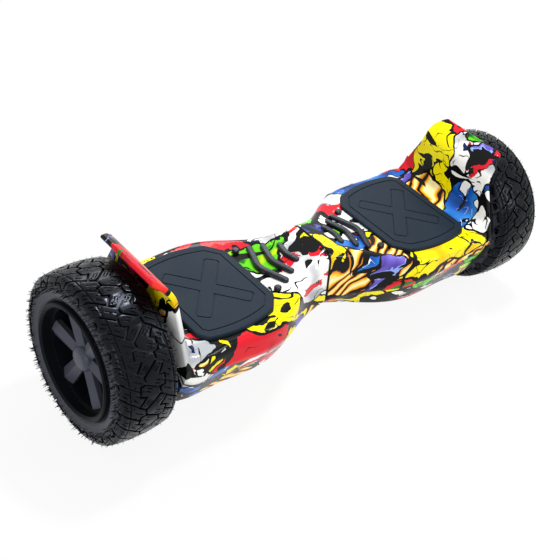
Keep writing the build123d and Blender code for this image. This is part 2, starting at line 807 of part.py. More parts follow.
# Hub shell: rotor drum, end wall and rim in one casting, turned about the axle
lip_radius = rim_radius + rim_lip_height
lip_x = wheel_outer_x + rim_lip_reach
dish_radius = rim_radius - dish_wall
shell_end_x = motor_end_x + end_wall
with BuildPart() as hub_shell:
    with BuildSketch(profile_plane) as shell_profile:
        with BuildLine():
            Polyline(
                (cover_x, magnet_outer),
                (cover_x, lip_radius),
                (wheel_mid_x - bead_reach - 1.5, lip_radius),
                (wheel_mid_x - bead_reach, rim_radius),
                (wheel_mid_x + bead_reach, rim_radius),
                (wheel_mid_x + bead_reach + 1.5, lip_radius),
                (lip_x - 1.5, lip_radius - 0.5),
                (lip_x, rim_radius),
                (lip_x, rim_radius - 1.5),
                (lip_x - 2.5, dish_radius),
                (shell_end_x, dish_radius),
                (shell_end_x, bearing_radius),
                (bearing_outer_x, bearing_radius),
                (bearing_outer_x, bearing_radius + 5),
                (motor_end_x, bearing_radius + 8),
                (motor_end_x, magnet_outer),
                close=True,
            )
        make_face()
    revolve(axis=axle_axis)
write_pair(hub_shell.part, "hub_shell")

with BuildPart() as motor_cover:
    add(disc(cover_x - 3, cover_x, magnet_outer + 4, axle_radius + 2))
    add(disc(cover_x, bearing_inner_x + bearing_width, bearing_radius + 5, bearing_radius))
    add(disc(cover_x - 1, bearing_inner_x, bearing_radius + 1, axle_radius + 2))
    for k in range(cover_screws):
        angle = math.radians(360 / cover_screws * (k + 0.5))
        reach = magnet_outer + 0.5
        y = reach * math.cos(angle)
        z = axle_z + reach * math.sin(angle)
        with BuildSketch(Plane.YZ.offset(cover_x - 3)):
            with Locations((y, z)):
                Circle(2.5)
        extrude(amount=-1.5)
write_pair(motor_cover.part, "motor_cover")

# ---------------------------------------------------------------- spoked hub cover
cover_ring_outer = dish_radius
cover_ring_inner = dish_radius - cover_ring_width
spoke_face_x = wheel_outer_x - spoke_recess


def spoke_section(radius, width, ridge_x):
    """Return a ridged spoke's cross-section at a distance from the axle line."""
    plane = Plane(origin=(0, radius, axle_z), x_dir=(0, 0, 1), z_dir=(0, 1, 0))
    eaves_x = ridge_x - spoke_ridge
    back_x = ridge_x - spoke_thickness
    with BuildSketch(plane) as outline:
        with BuildLine():
            Polyline(
                (-width / 2 + 1.5, back_x),
                (-width / 2, eaves_x),
                (0, ridge_x),
                (width / 2, eaves_x),
                (width / 2 - 1.5, back_x),
                close=True,
            )
        make_face()
    return outline.sketch


with BuildPart() as spoke:
    root = spoke_section(nose_radius - 4, spoke_root_width, spoke_face_x - 1)
    end = spoke_section(cover_ring_inner + 1.5, spoke_end_width, spoke_face_x)
    loft(sections=[root, end])

with BuildPart() as spoke_cover:
    with BuildSketch(profile_plane) as nose_profile:
        with BuildLine():
            nose_tip_x = wheel_outer_x - nose_reach
            foot = Line((shell_end_x, 0), (shell_end_x, nose_radius))
            side = Line(foot @ 1, (nose_tip_x - 8, nose_radius - 1))
            dome = TangentArc(side @ 1, (nose_tip_x, nose_tip_radius), tangent=side % 1)
            Line(dome @ 1, (nose_tip_x, 0))
            Line((nose_tip_x, 0), (shell_end_x, 0))
        make_face()
    revolve(axis=axle_axis)
    with BuildSketch(wheel_plane.offset(shell_end_x)):
        RegularPolygon(nose_radius - 1, nose_sides, major_radius=False)
    extrude(amount=wheel_outer_x - shell_end_x, mode=Mode.INTERSECT)
    add(disc(shell_end_x, spoke_face_x - 1.5, cover_ring_outer, cover_ring_inner))
    add(disc(spoke_face_x - 1.5, spoke_face_x, cover_ring_outer, cover_ring_outer - 2))
    turn = 360 / spoke_count
    add([spoke.part.rotate(axle_axis, turn * k) for k in range(spoke_count)])
write_pair(spoke_cover.part, "spoke_cover")

# ---------------------------------------------------------------- tyre
def cross_groove(s, length, skew, tilt, drop):
    """Return the cutter of a cross groove, centred s from the tyre's middle plane."""
    lean = math.radians(tilt)
    floor = tyre_radius - tread_depth - drop
    centre = (wheel_mid_x + s, 0, axle_z + floor + 6)
    plane = Plane(
        origin=centre,
        x_dir=(math.cos(lean), skew, -math.sin(lean)),
        z_dir=(math.sin(lean), 0, math.cos(lean)),
    )
    with BuildPart(plane) as cutter:
        Box(length, tread_groove, 12)
    return cutter.part


half_tyre = tyre_width / 2
crown_inner = tyre_radius - tyre_crown
shoulder_reach = half_tyre - tyre_shoulder[0]
shoulder_radius = tyre_radius - tyre_shoulder[1]
bulge_radius = rim_radius + 0.47 * (tyre_radius - rim_radius)
belt_radius = (bulge_radius + shoulder_radius) / 2 + 0.5
knee_radius = rim_radius + 0.44 * (tyre_radius - rim_radius)
with BuildPart() as tyre:
    with BuildSketch(profile_plane.move(Pos(wheel_mid_x, 0, 0))) as tyre_profile:
        with BuildLine():
            bead = Line((bead_reach - bead_width, rim_radius), (bead_reach, rim_radius))
            chafer = Line(bead @ 1, (bead_reach + 1, rim_radius + 4))
            wall = TangentArc((half_tyre, bulge_radius), chafer @ 1, tangent=(0, -1))
            ThreePointArc(
                (half_tyre, bulge_radius),
                (half_tyre - tyre_belt_inset, belt_radius),
                (shoulder_reach, shoulder_radius),
            )
            ThreePointArc(
                (shoulder_reach, shoulder_radius),
                (0, tyre_radius),
                (-shoulder_reach, shoulder_radius),
            )
            ThreePointArc(
                (-shoulder_reach, shoulder_radius),
                (-half_tyre + tyre_belt_inset, belt_radius),
                (-half_tyre, bulge_radius),
            )
            far_wall = TangentArc(
                (-half_tyre, bulge_radius), (-bead_reach - 1, rim_radius + 4), tangent=(0, -1)
            )
            Line(far_wall @ 1, (-bead_reach, rim_radius))
            Line((-bead_reach, rim_radius), (-bead_reach + bead_width, rim_radius))
            knee = (half_tyre - tyre_sidewall, knee_radius)
            inner_wall = Line((-bead_reach + bead_width, rim_radius), (-knee[0], knee[1]))
            crown = ThreePointArc(inner_wall @ 1, (0, crown_inner), knee)
            Line(crown @ 1, bead @ 0)
        make_face()
    revolve(axis=axle_axis)
    # two circumferential grooves, and the cross grooves that part the blocks
    for s in (-tread_rib / 2, tread_rib / 2):
        groove_x = wheel_mid_x + s - tread_groove / 2
        ring = (tyre_radius + 1, tyre_radius - tread_depth)
        add(disc(groove_x, groove_x + tread_groove, *ring), mode=Mode.SUBTRACT)
    turn = 360 / tread_blocks
    side_reach = (tread_rib / 2 + half_tyre) / 2 + 2
    side_length = half_tyre - tread_rib / 2 + 4
    cutters = [
        cross_groove(0, tread_rib + 2, rib_skew, 0, 0),
        cross_groove(side_reach, side_length, -lug_skew, lug_tilt, lug_drop).rotate(axle_axis, turn / 2),
        cross_groove(-side_reach, side_length, -lug_skew, -lug_tilt, lug_drop),
    ]
    add([c.rotate(axle_axis, turn * k) for k in range(tread_blocks) for c in cutters], mode=Mode.SUBTRACT)
write_pair(tyre.part, "tyre")


# ---------------------------------------------------------------- switch boards
def part_on_board(x, y, face, size):
    """Return a box of the given size on a board's face, centred at (x, y)."""
    length, width, height = size
    plan = (x - length / 2, x + length / 2, y - width / 2, y + width / 2)
    return block(*plan, face - solder_sink, face + height)


board_z = frame_top + standoff_height
with BuildPart() as switch_board:
    reach_x, reach_y = (size / 2 for size in switch_board_size)
    plan = (switch_x - reach_x, switch_x + reach_x, -reach_y, reach_y)
    add(block(*plan, board_z, board_z + board_thickness))
    slot_half = blade_thickness / 2 + blade_clearance
    face = board_z + board_thickness
    for x, y in switch_spots:
        add(part_on_board(x, y, face, switch_size))
        slot = (y - slot_half, y + slot_half, face + 1, face + switch_size[2] + 1)
        add(block(x - switch_size[0], x + switch_size[0], *slot), mode=Mode.SUBTRACT)
    add(part_on_board(switch_x, 0, face, chip_size))
    add(part_on_board(switch_x - reach_x + 5, 0, face, plug_size))
write_pair(switch_board.part, "switch_board")

# ---------------------------------------------------------------- bay plates
# A steel plate closes each frame's bay. The battery stands on the left one.
plate = (channel_start_x, channel_end_x, -channel_half_width, channel_half_width)
with BuildPart() as bay_plate:
    add(block(*plate, flange_bottom - plate_thickness, flange_bottom))
    fillet(bay_plate.edges().filter_by(Axis.Z), 5)
write_pair(bay_plate.part, "bay_plate")

# ---------------------------------------------------------------- battery, left half
bay_x = (channel_start_x + channel_end_x) / 2
length, width, height = battery_size
with BuildPart() as battery_pack:
    plan = (-bay_x - length / 2, -bay_x + length / 2, -width / 2, width / 2)
    add(block(*plan, flange_bottom, flange_bottom + height))
    fillet(battery_pack.edges().filter_by(Axis.X), 6)
write(battery_pack.part, "battery_pack")

# ---------------------------------------------------------------- main board, right half
sink_length, sink_width, sink_height = heat_sink_size
board_bottom = flange_bottom + sink_height
with BuildPart() as heat_sink:
    sides = (main_board_y - sink_width / 2, main_board_y + sink_width / 2)
    add(block(bay_x - sink_length / 2, bay_x + sink_length / 2, *sides, flange_bottom, board_bottom))
    for k in range(heat_sink_fins):
        y = main_board_y + sink_width * ((k + 0.5) / heat_sink_fins - 0.5)
        cut = (y - fin_gap / 2, y + fin_gap / 2, flange_bottom - 1, board_bottom - sink_plate)
        add(block(bay_x - sink_length, bay_x + sink_length, *cut), mode=Mode.SUBTRACT)
write(heat_sink.part, "heat_sink")

with BuildPart() as main_board:
    reach_x, reach_y = (size / 2 for size in main_board_size)
    plan = (bay_x - reach_x, bay_x + reach_x, main_board_y - reach_y, main_board_y + reach_y)
    top = board_bottom + board_thickness
    add(block(*plan, board_bottom, top))
    for i in (-1, 1):
        for j in (-1, 1):
            spot = (bay_x + i * (reach_x - 5), main_board_y + j * (reach_y - 5))
            add(post(*spot, flange_bottom, board_bottom + 1, board_post_radius))
    # power capacitors and a row of connectors
    capacitor_y = main_board_y + reach_y - 17
    for k in range(3):
        spot = (bay_x + capacitor_pitch * (k - 1) - 4, capacitor_y)
        add(post(*spot, top - solder_sink, top + capacitor_height, capacitor_radius))
    connector_y = main_board_y - reach_y + 8
    for k in range(4):
        x = bay_x + connector_pitch * (k - 1.5) + 1
        add(part_on_board(x, connector_y, top, connector_size))
write(main_board.part, "main_board")

# ---------------------------------------------------------------- power button
bezel_outer = button_radius + bezel_wall
button_back = button_face - button_depth
bezel_face = button_face + bezel_proud
with BuildPart() as button_bezel:
    add(barrel(button_x, button_z, button_face - 6, bezel_face, bezel_radius))
    add(body_form.part, mode=Mode.SUBTRACT)
    add(barrel(button_x, button_z, button_back - 2, bezel_face - 0.5, bezel_outer))
    bore = button_radius + button_fit
    add(barrel(button_x, button_z, button_back, bezel_face + 1, bore), mode=Mode.SUBTRACT)
write(button_bezel.part, "button_bezel")

with BuildPart() as power_button:
    start = button_back + button_travel + 0.3
    add(barrel(button_x, button_z, start, button_face + button_proud, button_radius))
    fillet(power_button.edges().group_by(Axis.Y)[-1], 1)
write(power_button.part, "power_button")

# ---------------------------------------------------------------- charging socket
mouth_y = socket_face + bezel_proud
pin_end = mouth_y - socket_depth + pin_length
with BuildPart() as charge_socket:
    add(barrel(socket_x, socket_z, socket_face - 6, mouth_y, socket_flange))
    add(body_form.part, mode=Mode.SUBTRACT)
    add(barrel(socket_x, socket_z, mouth_y - socket_depth - 6, mouth_y - 0.5, socket_radius))
    add(barrel(socket_x, socket_z, mouth_y - socket_depth, mouth_y + 1, socket_bore), mode=Mode.SUBTRACT)
    for k in range(3):
        angle = math.radians(120 * k + 90)
        pin = (socket_x + pin_circle * math.cos(angle), socket_z + pin_circle * math.sin(angle))
        add(barrel(*pin, mouth_y - socket_depth - 1, pin_end, pin_radius))
write(charge_socket.part, "charge_socket")
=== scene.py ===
"""Self-balancing hoverboard: printed casings, block-tread tyres, rubber pads and the studio."""

import math
import random

import bmesh
import bpy
from mathutils import Matrix, Vector


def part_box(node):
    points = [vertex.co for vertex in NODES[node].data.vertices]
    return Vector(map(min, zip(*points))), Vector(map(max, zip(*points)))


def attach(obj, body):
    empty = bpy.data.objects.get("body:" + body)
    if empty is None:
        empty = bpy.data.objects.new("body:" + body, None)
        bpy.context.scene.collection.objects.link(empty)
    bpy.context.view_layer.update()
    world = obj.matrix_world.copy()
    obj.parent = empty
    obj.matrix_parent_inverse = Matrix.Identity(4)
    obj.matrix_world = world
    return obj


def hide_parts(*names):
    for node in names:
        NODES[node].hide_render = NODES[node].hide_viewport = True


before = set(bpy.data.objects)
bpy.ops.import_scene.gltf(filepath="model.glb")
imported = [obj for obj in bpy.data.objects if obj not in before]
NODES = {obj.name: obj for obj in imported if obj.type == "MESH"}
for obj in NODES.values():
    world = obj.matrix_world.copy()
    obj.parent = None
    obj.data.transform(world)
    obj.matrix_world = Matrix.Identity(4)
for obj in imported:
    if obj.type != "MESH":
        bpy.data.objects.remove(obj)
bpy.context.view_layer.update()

bl_info = {
    "name": "Self-balancing hoverboard",
    "version": (1, 0, 0),
    "blender": (4, 5, 0),
    "location": "View3D > Sidebar > Hoverboard",
    "description": "Builds a printed hoverboard with block-tread tyres and rubber foot pads",
    "category": "Object",
}

MM = 0.001
SIDES = {"left": -1, "right": 1}
# Points closer than this are one, and edges shallower than this many degrees are smooth
WELD = 0.01 * MM
SHALLOW_EDGE = 32

# ---------------------------------------------------------------- places of the wheels
tyre_low, tyre_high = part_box("right_tyre")
AXLE_Z = (tyre_low.z + tyre_high.z) / 2
TYRE_MID = (tyre_low.x + tyre_high.x) / 2
TYRE_RADIUS = (tyre_high.y - tyre_low.y) / 2
cover_low, cover_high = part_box("right_spoke_cover")
# Width of the spoked cover's ring, and the ring's inner radius, outside which the cover is painted black as
# the shade of the deep rim
COVER_RIM = 4.7 * MM
SHADE_RING_RADIUS = (cover_high.y - cover_low.y) / 2 - COVER_RIM


# ---------------------------------------------------------------- settings a user would change
def linear(hex_value):
    """Return an sRGB hex value as a linear RGBA colour."""
    channels = [int(hex_value[k : k + 2], 16) / 255 for k in (0, 2, 4)]
    return [c / 12.92 if c <= 0.04045 else ((c + 0.055) / 1.055) ** 2.4 for c in channels] + [1.0]


def length_setting(name, description, default):
    """Return a length setting whose default is in millimetres."""
    return bpy.props.FloatProperty(name=name, description=description, default=default * MM, unit="LENGTH")


def power_setting(name, description, default):
    """Return a light's power setting in watts."""
    return bpy.props.FloatProperty(name=name, description=description, default=default, unit="POWER")


def number_setting(name, description, default):
    """Return a setting that is a plain number."""
    return bpy.props.FloatProperty(name=name, description=description, default=default)


def colour_setting(name, description, default):
    """Return a colour setting whose default is a hex value."""
    kind = {"default": linear(default), "size": 4, "min": 0.0, "max": 1.0, "subtype": "COLOR"}
    return bpy.props.FloatVectorProperty(name=name, description=description, **kind)


class TyreSettings(bpy.types.PropertyGroup):
    """Sizes of the tyre's tread."""

    pitches: bpy.props.IntProperty(
        name="Tread pitches", description="How often the tread repeats round the tyre", default=16
    )
    depth: length_setting("Tread depth", "Depth of the grooves", 4.2)
    slit_width: length_setting("Slit width", "Width of the slits in the blocks", 1.3)
    hair_length: length_setting("Vent hair length", "Length of the moulding hairs, roots and all", 7.4)
    hair_radius: length_setting("Vent hair radius", "Radius of the moulding hairs at their roots", 0.95)


class PrintSettings(bpy.types.PropertyGroup):
    """Inks of the casing's print, and the seeds of its layout."""

    yellow: colour_setting("Yellow", "Main ink", "F8E900")
    ochre: colour_setting("Ochre", "Shade of the yellow ink", "F2B90A")
    black: colour_setting("Black", "Outline ink", "0B0B0D")
    slate: colour_setting("Slate", "Smoke on the black ink", "2C3038")
    white: colour_setting("White", "Highlight ink", "F4F4F0")
    grey: colour_setting("Grey", "Shade of the white ink", "A9ADB2")
    red: colour_setting("Red", "Red ink", "DA1A2A")
    maroon: colour_setting("Maroon", "Shade of the red ink", "7A0F18")
    flame: colour_setting("Flame", "Light of the red ink", "F2541B")
    rust: colour_setting("Rust", "Shade of the orange ink", "BE600C")
    orange: colour_setting("Orange", "Orange ink", "F39A14")
    gold: colour_setting("Gold", "Light of the orange ink", "FFD23C")
    cream: colour_setting("Cream", "Shine of the orange ink", "FFF0B0")
    blue: colour_setting("Blue", "Blue ink", "1457B4")
    navy: colour_setting("Navy", "Shade of the blue ink", "12234F")
    azure: colour_setting("Azure", "Light of the blue ink", "3F90DC")
    purple: colour_setting("Purple", "Purple ink", "5747A6")
    violet: colour_setting("Violet", "Light of the purple ink", "7868C8")
    mist: colour_setting("Mist", "Rim of the purple ink", "8FA8F0")
    lime: colour_setting("Lime", "Green ink", "62D212")
    green: colour_setting("Green", "Shade of the green ink", "167A1C")
    moss: colour_setting("Moss", "Depth of the green ink", "0E4A16")
    left_seed: number_setting("Left seed", "Layout on the left half", 27.7)
    right_seed: number_setting("Right seed", "Layout on the right half", 33.2)


class StudioSettings(bpy.types.PropertyGroup):
    """Light levels of the studio."""

    key: power_setting("Key light", "Softbox above", 24.0)
    fill: power_setting("Fill light", "Front softbox", 20.0)
    strip: power_setting("Shoulder light", "Strip at the front right", 8.0)
    rim: power_setting("Rim light", "Strip behind", 20.0)
    world: number_setting("Surround", "Level of the white surround", 0.60)


# ---------------------------------------------------------------- small helpers
def node(tree, kind, inputs=None, out=0, stops=(), **settings):
    """Add a node, set it, feed its inputs with values or sockets, and return an output socket.

    A colour ramp also takes its stops, as places and colours.
    """
    made = tree.nodes.new(kind)
    for name, value in settings.items():
        setattr(made, name, value)
    for k, (place, colour) in enumerate(stops):
        stop = made.color_ramp.elements[k] if k < 2 else made.color_ramp.elements.new(place)
        stop.position = place
        stop.color = colour
    for key, value in (inputs or {}).items():
        if isinstance(value, bpy.types.NodeSocket):
            tree.links.new(value, made.inputs[key])
        else:
            made.inputs[key].default_value = value
    return made if out is None or not made.outputs else made.outputs[out]


def start_material(name):
    """Return a new material, its tree, its surface shader and the object coordinates."""
    made = bpy.data.materials.new(name)
    made.use_nodes = True
    tree = made.node_tree
    tree.nodes.clear()
    shader = node(tree, "ShaderNodeBsdfPrincipled", out=None)
    node(tree, "ShaderNodeOutputMaterial", {"Surface": shader.outputs[0]})
    place = node(tree, "ShaderNodeTexCoord", out=3)
    return made, tree, shader, place


def start_geometry(name, sizes):
    """Return a new geometry node tree with named sizes, and the sockets that give its inputs."""
    tree = bpy.data.node_groups.new(name, "GeometryNodeTree")
    for label, kind in (("Geometry", "Geometry"), *sizes):
        tree.interface.new_socket(label, in_out="INPUT", socket_type=f"NodeSocket{kind}")
    tree.interface.new_socket("Geometry", in_out="OUTPUT", socket_type="NodeSocketGeometry")
    return tree, node(tree, "NodeGroupInput", out=None).outputs


def end_geometry(tree, instances, material):
    """End a geometry node tree by making its instances real and giving them a material."""
    real = node(tree, "GeometryNodeRealizeInstances", {0: instances})
    painted = node(tree, "GeometryNodeSetMaterial", {"Geometry": real, "Material": material})
    node(tree, "NodeGroupOutput", {0: painted})


def add_tree(piece, tree, sizes):
    """Put a geometry node tree on a piece and set the tree's sizes, in their order."""
    growth = piece.modifiers.new(tree.name, "NODES")
    growth.node_group = tree
    inputs = [socket for socket in tree.interface.items_tree if socket.in_out == "INPUT"]
    for socket, size in zip(inputs[1:], sizes, strict=True):
        growth[socket.identifier] = size


def soft_edges():
    """Return the node tree that joins loose triangles and shades their shallow edges smooth."""
    name = "Soft edges"
    if name in bpy.data.node_groups:
        return bpy.data.node_groups[name]
    tree, given = start_geometry(name, (("Weld distance", "Float"), ("Shallow edge", "Float")))
    weld = {"Geometry": given["Geometry"], "Distance": given["Weld distance"]}
    welded = node(tree, "GeometryNodeMergeByDistance", weld)
    angle = node(tree, "GeometryNodeInputMeshEdgeAngle")
    steep = {0: angle, 1: given["Shallow edge"]}
    sharp = node(tree, "FunctionNodeCompare", steep, operation="GREATER_THAN")
    marked = node(
        tree,
        "GeometryNodeStoreNamedAttribute",
        {"Geometry": welded, "Name": "sharp_edge", "Value": sharp},
        data_type="BOOLEAN",
        domain="EDGE",
    )
    smooth = node(tree, "GeometryNodeSetShadeSmooth", {"Geometry": marked})
    node(tree, "NodeGroupOutput", {0: smooth})
    return tree


def dress(name, material):
    """Give a modelled piece its material and smooth its shallow edges."""
    piece = NODES[name]
    piece.data.materials.clear()
    piece.data.materials.append(material)
    add_tree(piece, soft_edges(), (WELD, math.radians(SHALLOW_EDGE)))


def finish_mesh(name, mesh, material, body):
    """Turn a mesh into a finished piece that rides on a body."""
    piece = bpy.data.objects.new(name, mesh)
    bpy.context.scene.collection.objects.link(piece)
    mesh.materials.clear()
    mesh.materials.append(material)
    mesh.name = name
    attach(piece, body)
    return piece


def shade_by_angle(mesh, degrees):
    """Shade a mesh smooth but for its edges sharper than an angle."""
    mesh.polygons.foreach_set("use_smooth", [True] * len(mesh.polygons))
    mesh.set_sharp_from_angle(angle=math.radians(degrees))


def mirrored(mesh, side):
    """Return a mesh for one side of the board, turned about the seam if it is the left."""
    made = mesh.copy()
    if side < 0:
        made.transform(Matrix.Diagonal((-1, 1, 1, 1)))
        made.flip_normals()
    return made


def lathe(profile, steps):
    """Return a bmesh ring turned about the axle from a closed profile of (x, radius) points."""
    made = bmesh.new()
    rings = []
    for k in range(steps):
        angle = 2 * math.pi * k / steps
        y, z = math.sin(angle), math.cos(angle)
        rings.append([made.verts.new((x, r * y, AXLE_Z + r * z)) for x, r in profile])
    count = len(profile)
    for k in range(steps):
        here, there = rings[k], rings[(k + 1) % steps]
        for i in range(count):
            j = (i + 1) % count
            made.faces.new((here[i], here[j], there[j], there[i]))
    bmesh.ops.recalc_face_normals(made, faces=made.faces)
    return made


def to_mesh(made, name):
    """Turn a bmesh into a mesh and free it."""
    mesh = bpy.data.meshes.new(name)
    made.to_mesh(mesh)
    made.free()
    return mesh


# ---------------------------------------------------------------- materials
# Tint of the sheen on black rubber and paint
COOL = "DCE8FF"
WHITE = "FFFFFF"
# Noise levels between which a finish's roughness drifts, and how strongly its grain shows
DRIFT_LOW, DRIFT_HIGH = 0.3, 0.7
GRAIN_STRENGTH = 0.35


def grain(tree, place, shader, size, strength, depth, detail=3.0):
    """Give a surface a fine grain whose features are size metres across.

    A moulded grain is a tenth of a millimetre or so, and is drawn coarser, so that it shows.
    """
    noise = node(tree, "ShaderNodeTexNoise", {"Vector": place, "Scale": 1 / size, "Detail": detail})
    bump = node(tree, "ShaderNodeBump", {"Height": noise, "Strength": strength, "Distance": depth})
    tree.links.new(bump, shader.inputs["Normal"])


def plain_finish(
    name, dark, light, roughness, patch, size, depth, metallic=0.0, spread=0.12, gloss=0.5, sheen=WHITE
):
    """Return a material whose colour and roughness drift between patches, with a fine grain.

    patch is how far the drift reaches, and size and depth are those of the grain, in metres.
    """
    made, tree, shader, place = start_material(name)
    cloud = node(tree, "ShaderNodeTexNoise", {"Vector": place, "Scale": 1 / patch, "Detail": 4.0})
    tint = node(
        tree,
        "ShaderNodeMix",
        {"Factor": cloud, 6: linear(dark), 7: linear(light)},
        out=2,
        data_type="RGBA",
    )
    rough = node(
        tree,
        "ShaderNodeMapRange",
        {0: cloud, 1: DRIFT_LOW, 2: DRIFT_HIGH, 3: roughness - spread / 2, 4: roughness + spread / 2},
    )
    tree.links.new(tint, shader.inputs["Base Color"])
    tree.links.new(rough, shader.inputs["Roughness"])
    shader.inputs["Metallic"].default_value = metallic
    shader.inputs["Specular IOR Level"].default_value = gloss
    shader.inputs["Specular Tint"].default_value = linear(sheen)
    grain(tree, place, shader, size, GRAIN_STRENGTH, depth)
    return made


def tyre_rubber():
    """Vulcanised tyre rubber, moulded in a machined tread mould: black with a wet-looking gloss."""
    finish = {"spread": 0.08, "gloss": 0.16, "sheen": COOL}
    return plain_finish("Moulded tread rubber", "050607", "0B0C0E", 0.22, 0.03, 0.0011, 0.00010, **finish)


def lit_sidewall_rubber():
    """Vulcanised tyre rubber, moulded in a blasted mould: smooth, with a satin sheen, the tread's rubber
    painted a lighter violet grey for the light on the sidewalls.
    """
    finish = {"gloss": 0.14, "sheen": COOL}
    sizes = (0.04, 0.0008, 0.00006)
    # Lighter than the tread's black: painted light on the same rubber
    return plain_finish("Moulded sidewall rubber", "2E2F36", "3E3F47", 0.36, *sizes, **finish)


def pad_rubber():
    """Silicone rubber, moulded: dark blue slate with a soft even sheen."""
    finish = {"gloss": 0.08, "sheen": COOL}
    sizes = (0.05, 0.0006, 0.00006)
    return plain_finish("Moulded silicone rubber", "18222C", "202B36", 0.44, *sizes, **finish)


def grip_rubber():
    """Soft rubber, moulded: near black, glossier than the pads, so its edges catch the light."""
    finish = {"gloss": 0.26, "sheen": COOL}
    return plain_finish("Moulded grip rubber", "1A1B1F", "25272C", 0.28, 0.03, 0.0006, 0.00005, **finish)


def shade_black_hub_paint():
    """Powder coat over cast aluminium: satin, with a fine orange peel, painted near black as the shade in
    the deep dish.
    """
    finish = {"gloss": 0.08, "sheen": COOL}
    # Near black: painted shade of the deep dish
    return plain_finish("Powder coated casting", "0A0B0D", "101115", 0.44, 0.04, 0.0014, 0.00008, **finish)


def cover_nylon():
    """Glass-filled nylon, moulded: violet grey spokes with a satin sheen, inside a ring painted black as
    the shade of the deep rim.
    """
    finish = {"gloss": 0.22, "sheen": COOL}
    made = plain_finish("Moulded nylon", "3A3C45", "484A55", 0.34, 0.05, 0.0009, 0.00005, **finish)
    tree = made.node_tree
    colour = tree.nodes["Principled BSDF"].inputs["Base Color"]
    place = node(tree, "ShaderNodeTexCoord", out=3)
    flat = node(tree, "ShaderNodeVectorMath", {0: place, 1: (0.0, 1.0, 1.0)}, operation="MULTIPLY")
    centre = {0: flat, 1: (0.0, 0.0, AXLE_Z)}
    radius = node(tree, "ShaderNodeVectorMath", centre, out=1, operation="DISTANCE")
    # Past the ring's inner radius the colour turns near black: painted shade of the deep rim
    ring = node(tree, "ShaderNodeMath", {0: radius, 1: SHADE_RING_RADIUS}, operation="GREATER_THAN")
    grey = colour.links[0].from_socket
    painted = {"Factor": ring, 6: grey, 7: linear("0C0D11")}
    tree.links.new(node(tree, "ShaderNodeMix", painted, out=2, data_type="RGBA"), colour)
    return made


def cast_aluminium():
    """Cast aluminium, as cast: pale grey metal with a sandy skin."""
    return plain_finish("Cast aluminium", "8E9092", "A6A8AA", 0.48, 0.01, 0.0008, 0.0001, 1.0)


def ground_steel():
    """Ground steel: bright metal with a fine satin."""
    return plain_finish("Ground steel", "A4A6A8", "B8BABC", 0.28, 0.02, 0.0003, 0.00002, 1.0)


def zinc_plate():
    """Zinc-plated sheet steel: pale metal with soft spangles."""
    return plain_finish("Zinc plated steel", "9DA1A4", "B4B8BA", 0.34, 0.006, 0.0005, 0.00002, 1.0)


def black_oxide():
    """Black-oxide steel: near black metal, slightly oily."""
    return plain_finish("Black oxide steel", "17181A", "232427", 0.36, 0.004, 0.0004, 0.00002, 0.8)


def copper_winding():
    """Enamelled copper wire on a laminated core: dark red-brown, glossy."""
    return plain_finish("Enamelled copper winding", "6B2E14", "8A4420", 0.30, 0.004, 0.0007, 0.0002, 0.7)


def nickel_magnet():
    """Nickel-plated magnet: pale grey metal."""
    return plain_finish("Nickel plated magnet", "8B8C8E", "A0A1A3", 0.25, 0.02, 0.0004, 0.00001, 1.0)


def acetal():
    """Acetal, turned: ivory plastic."""
    return plain_finish("Turned acetal", "CFC9B8", "DAD5C6", 0.40, 0.02, 0.0005, 0.00002)


def shrink_wrap():
    """PVC shrink wrap over cells: blue film, glossy, slightly wrinkled."""
    return plain_finish("Shrink wrapped cells", "173C7A", "1F4C94", 0.25, 0.03, 0.006, 0.0004)


def solder_mask():
    """Glass-epoxy board under green solder mask."""
    return plain_finish("Circuit board", "12552B", "186B38", 0.35, 0.004, 0.001, 0.00005)


def black_abs():
    """ABS, moulded: black, satin."""
    return plain_finish("Moulded black plastic", "121214", "1A1A1D", 0.40, 0.02, 0.0007, 0.00005)


def red_button():
    """ABS, moulded and polished: deep red."""
    return plain_finish("Polished red plastic", "A80F16", "BD141C", 0.22, 0.01, 0.0006, 0.00001)


def mark_paint():
    """Pad-printed paint: off-white, satin."""
    return plain_finish("Printed white paint", "D8D8D4", "E4E4E0", 0.4, 0.01, 0.0005, 0.00001)


# ---------------------------------------------------------------- the casing's print
# Each layer of the print: ink family, size of its patches in metres, the noise level it starts
# at and the place in the noise that it is read from. Later layers lie over earlier ones.
LAYERS = (
    ("ribbons", 0.110, 0.575, 3.0),
    ("night", 0.085, 0.625, 9.0),
    ("ember", 0.105, 0.580, 14.0),
    ("wave", 0.090, 0.628, 21.0),
    ("bone", 0.090, 0.620, 27.0),
    ("shard", 0.075, 0.675, 33.0),
    ("lime", 0.085, 0.640, 41.0),
)
# On the bottom casings the pale and dark layers cover more
LOWER_LEVELS = {"bone": 0.510, "night": 0.550, "ember": 0.590, "lime": 0.700}
# How far below a layer's noise level its black outline starts
OUTLINE = 0.020
# Turn of a layer's patches in degrees, and how much longer they are than wide
LAYER_TURN = 30
LAYER_STRETCH = 1.4
# Scale of the wave that draws the golden ribbons, which sets them 16.5 mm apart, and their turn
# in degrees
RIBBON_SCALE = 19.0
RIBBON_TURN = 55
# Heights at which the deck turns down into the sides and the belly up into them
DECK_EDGE = 0.136
BELLY = 0.054
# Where the fenders start along the board, and the height from which they climb
FENDER_START = 0.250
FENDER_FOOT = 0.152
# Width of the black band painted at the seam as the shade of the gap between the halves, from the middle of
# the board
SEAM_SHADE_WIDTH = 0.0022
# How much the bottom casings' seeds differ from the top ones'
LOWER_SEED = 4.0


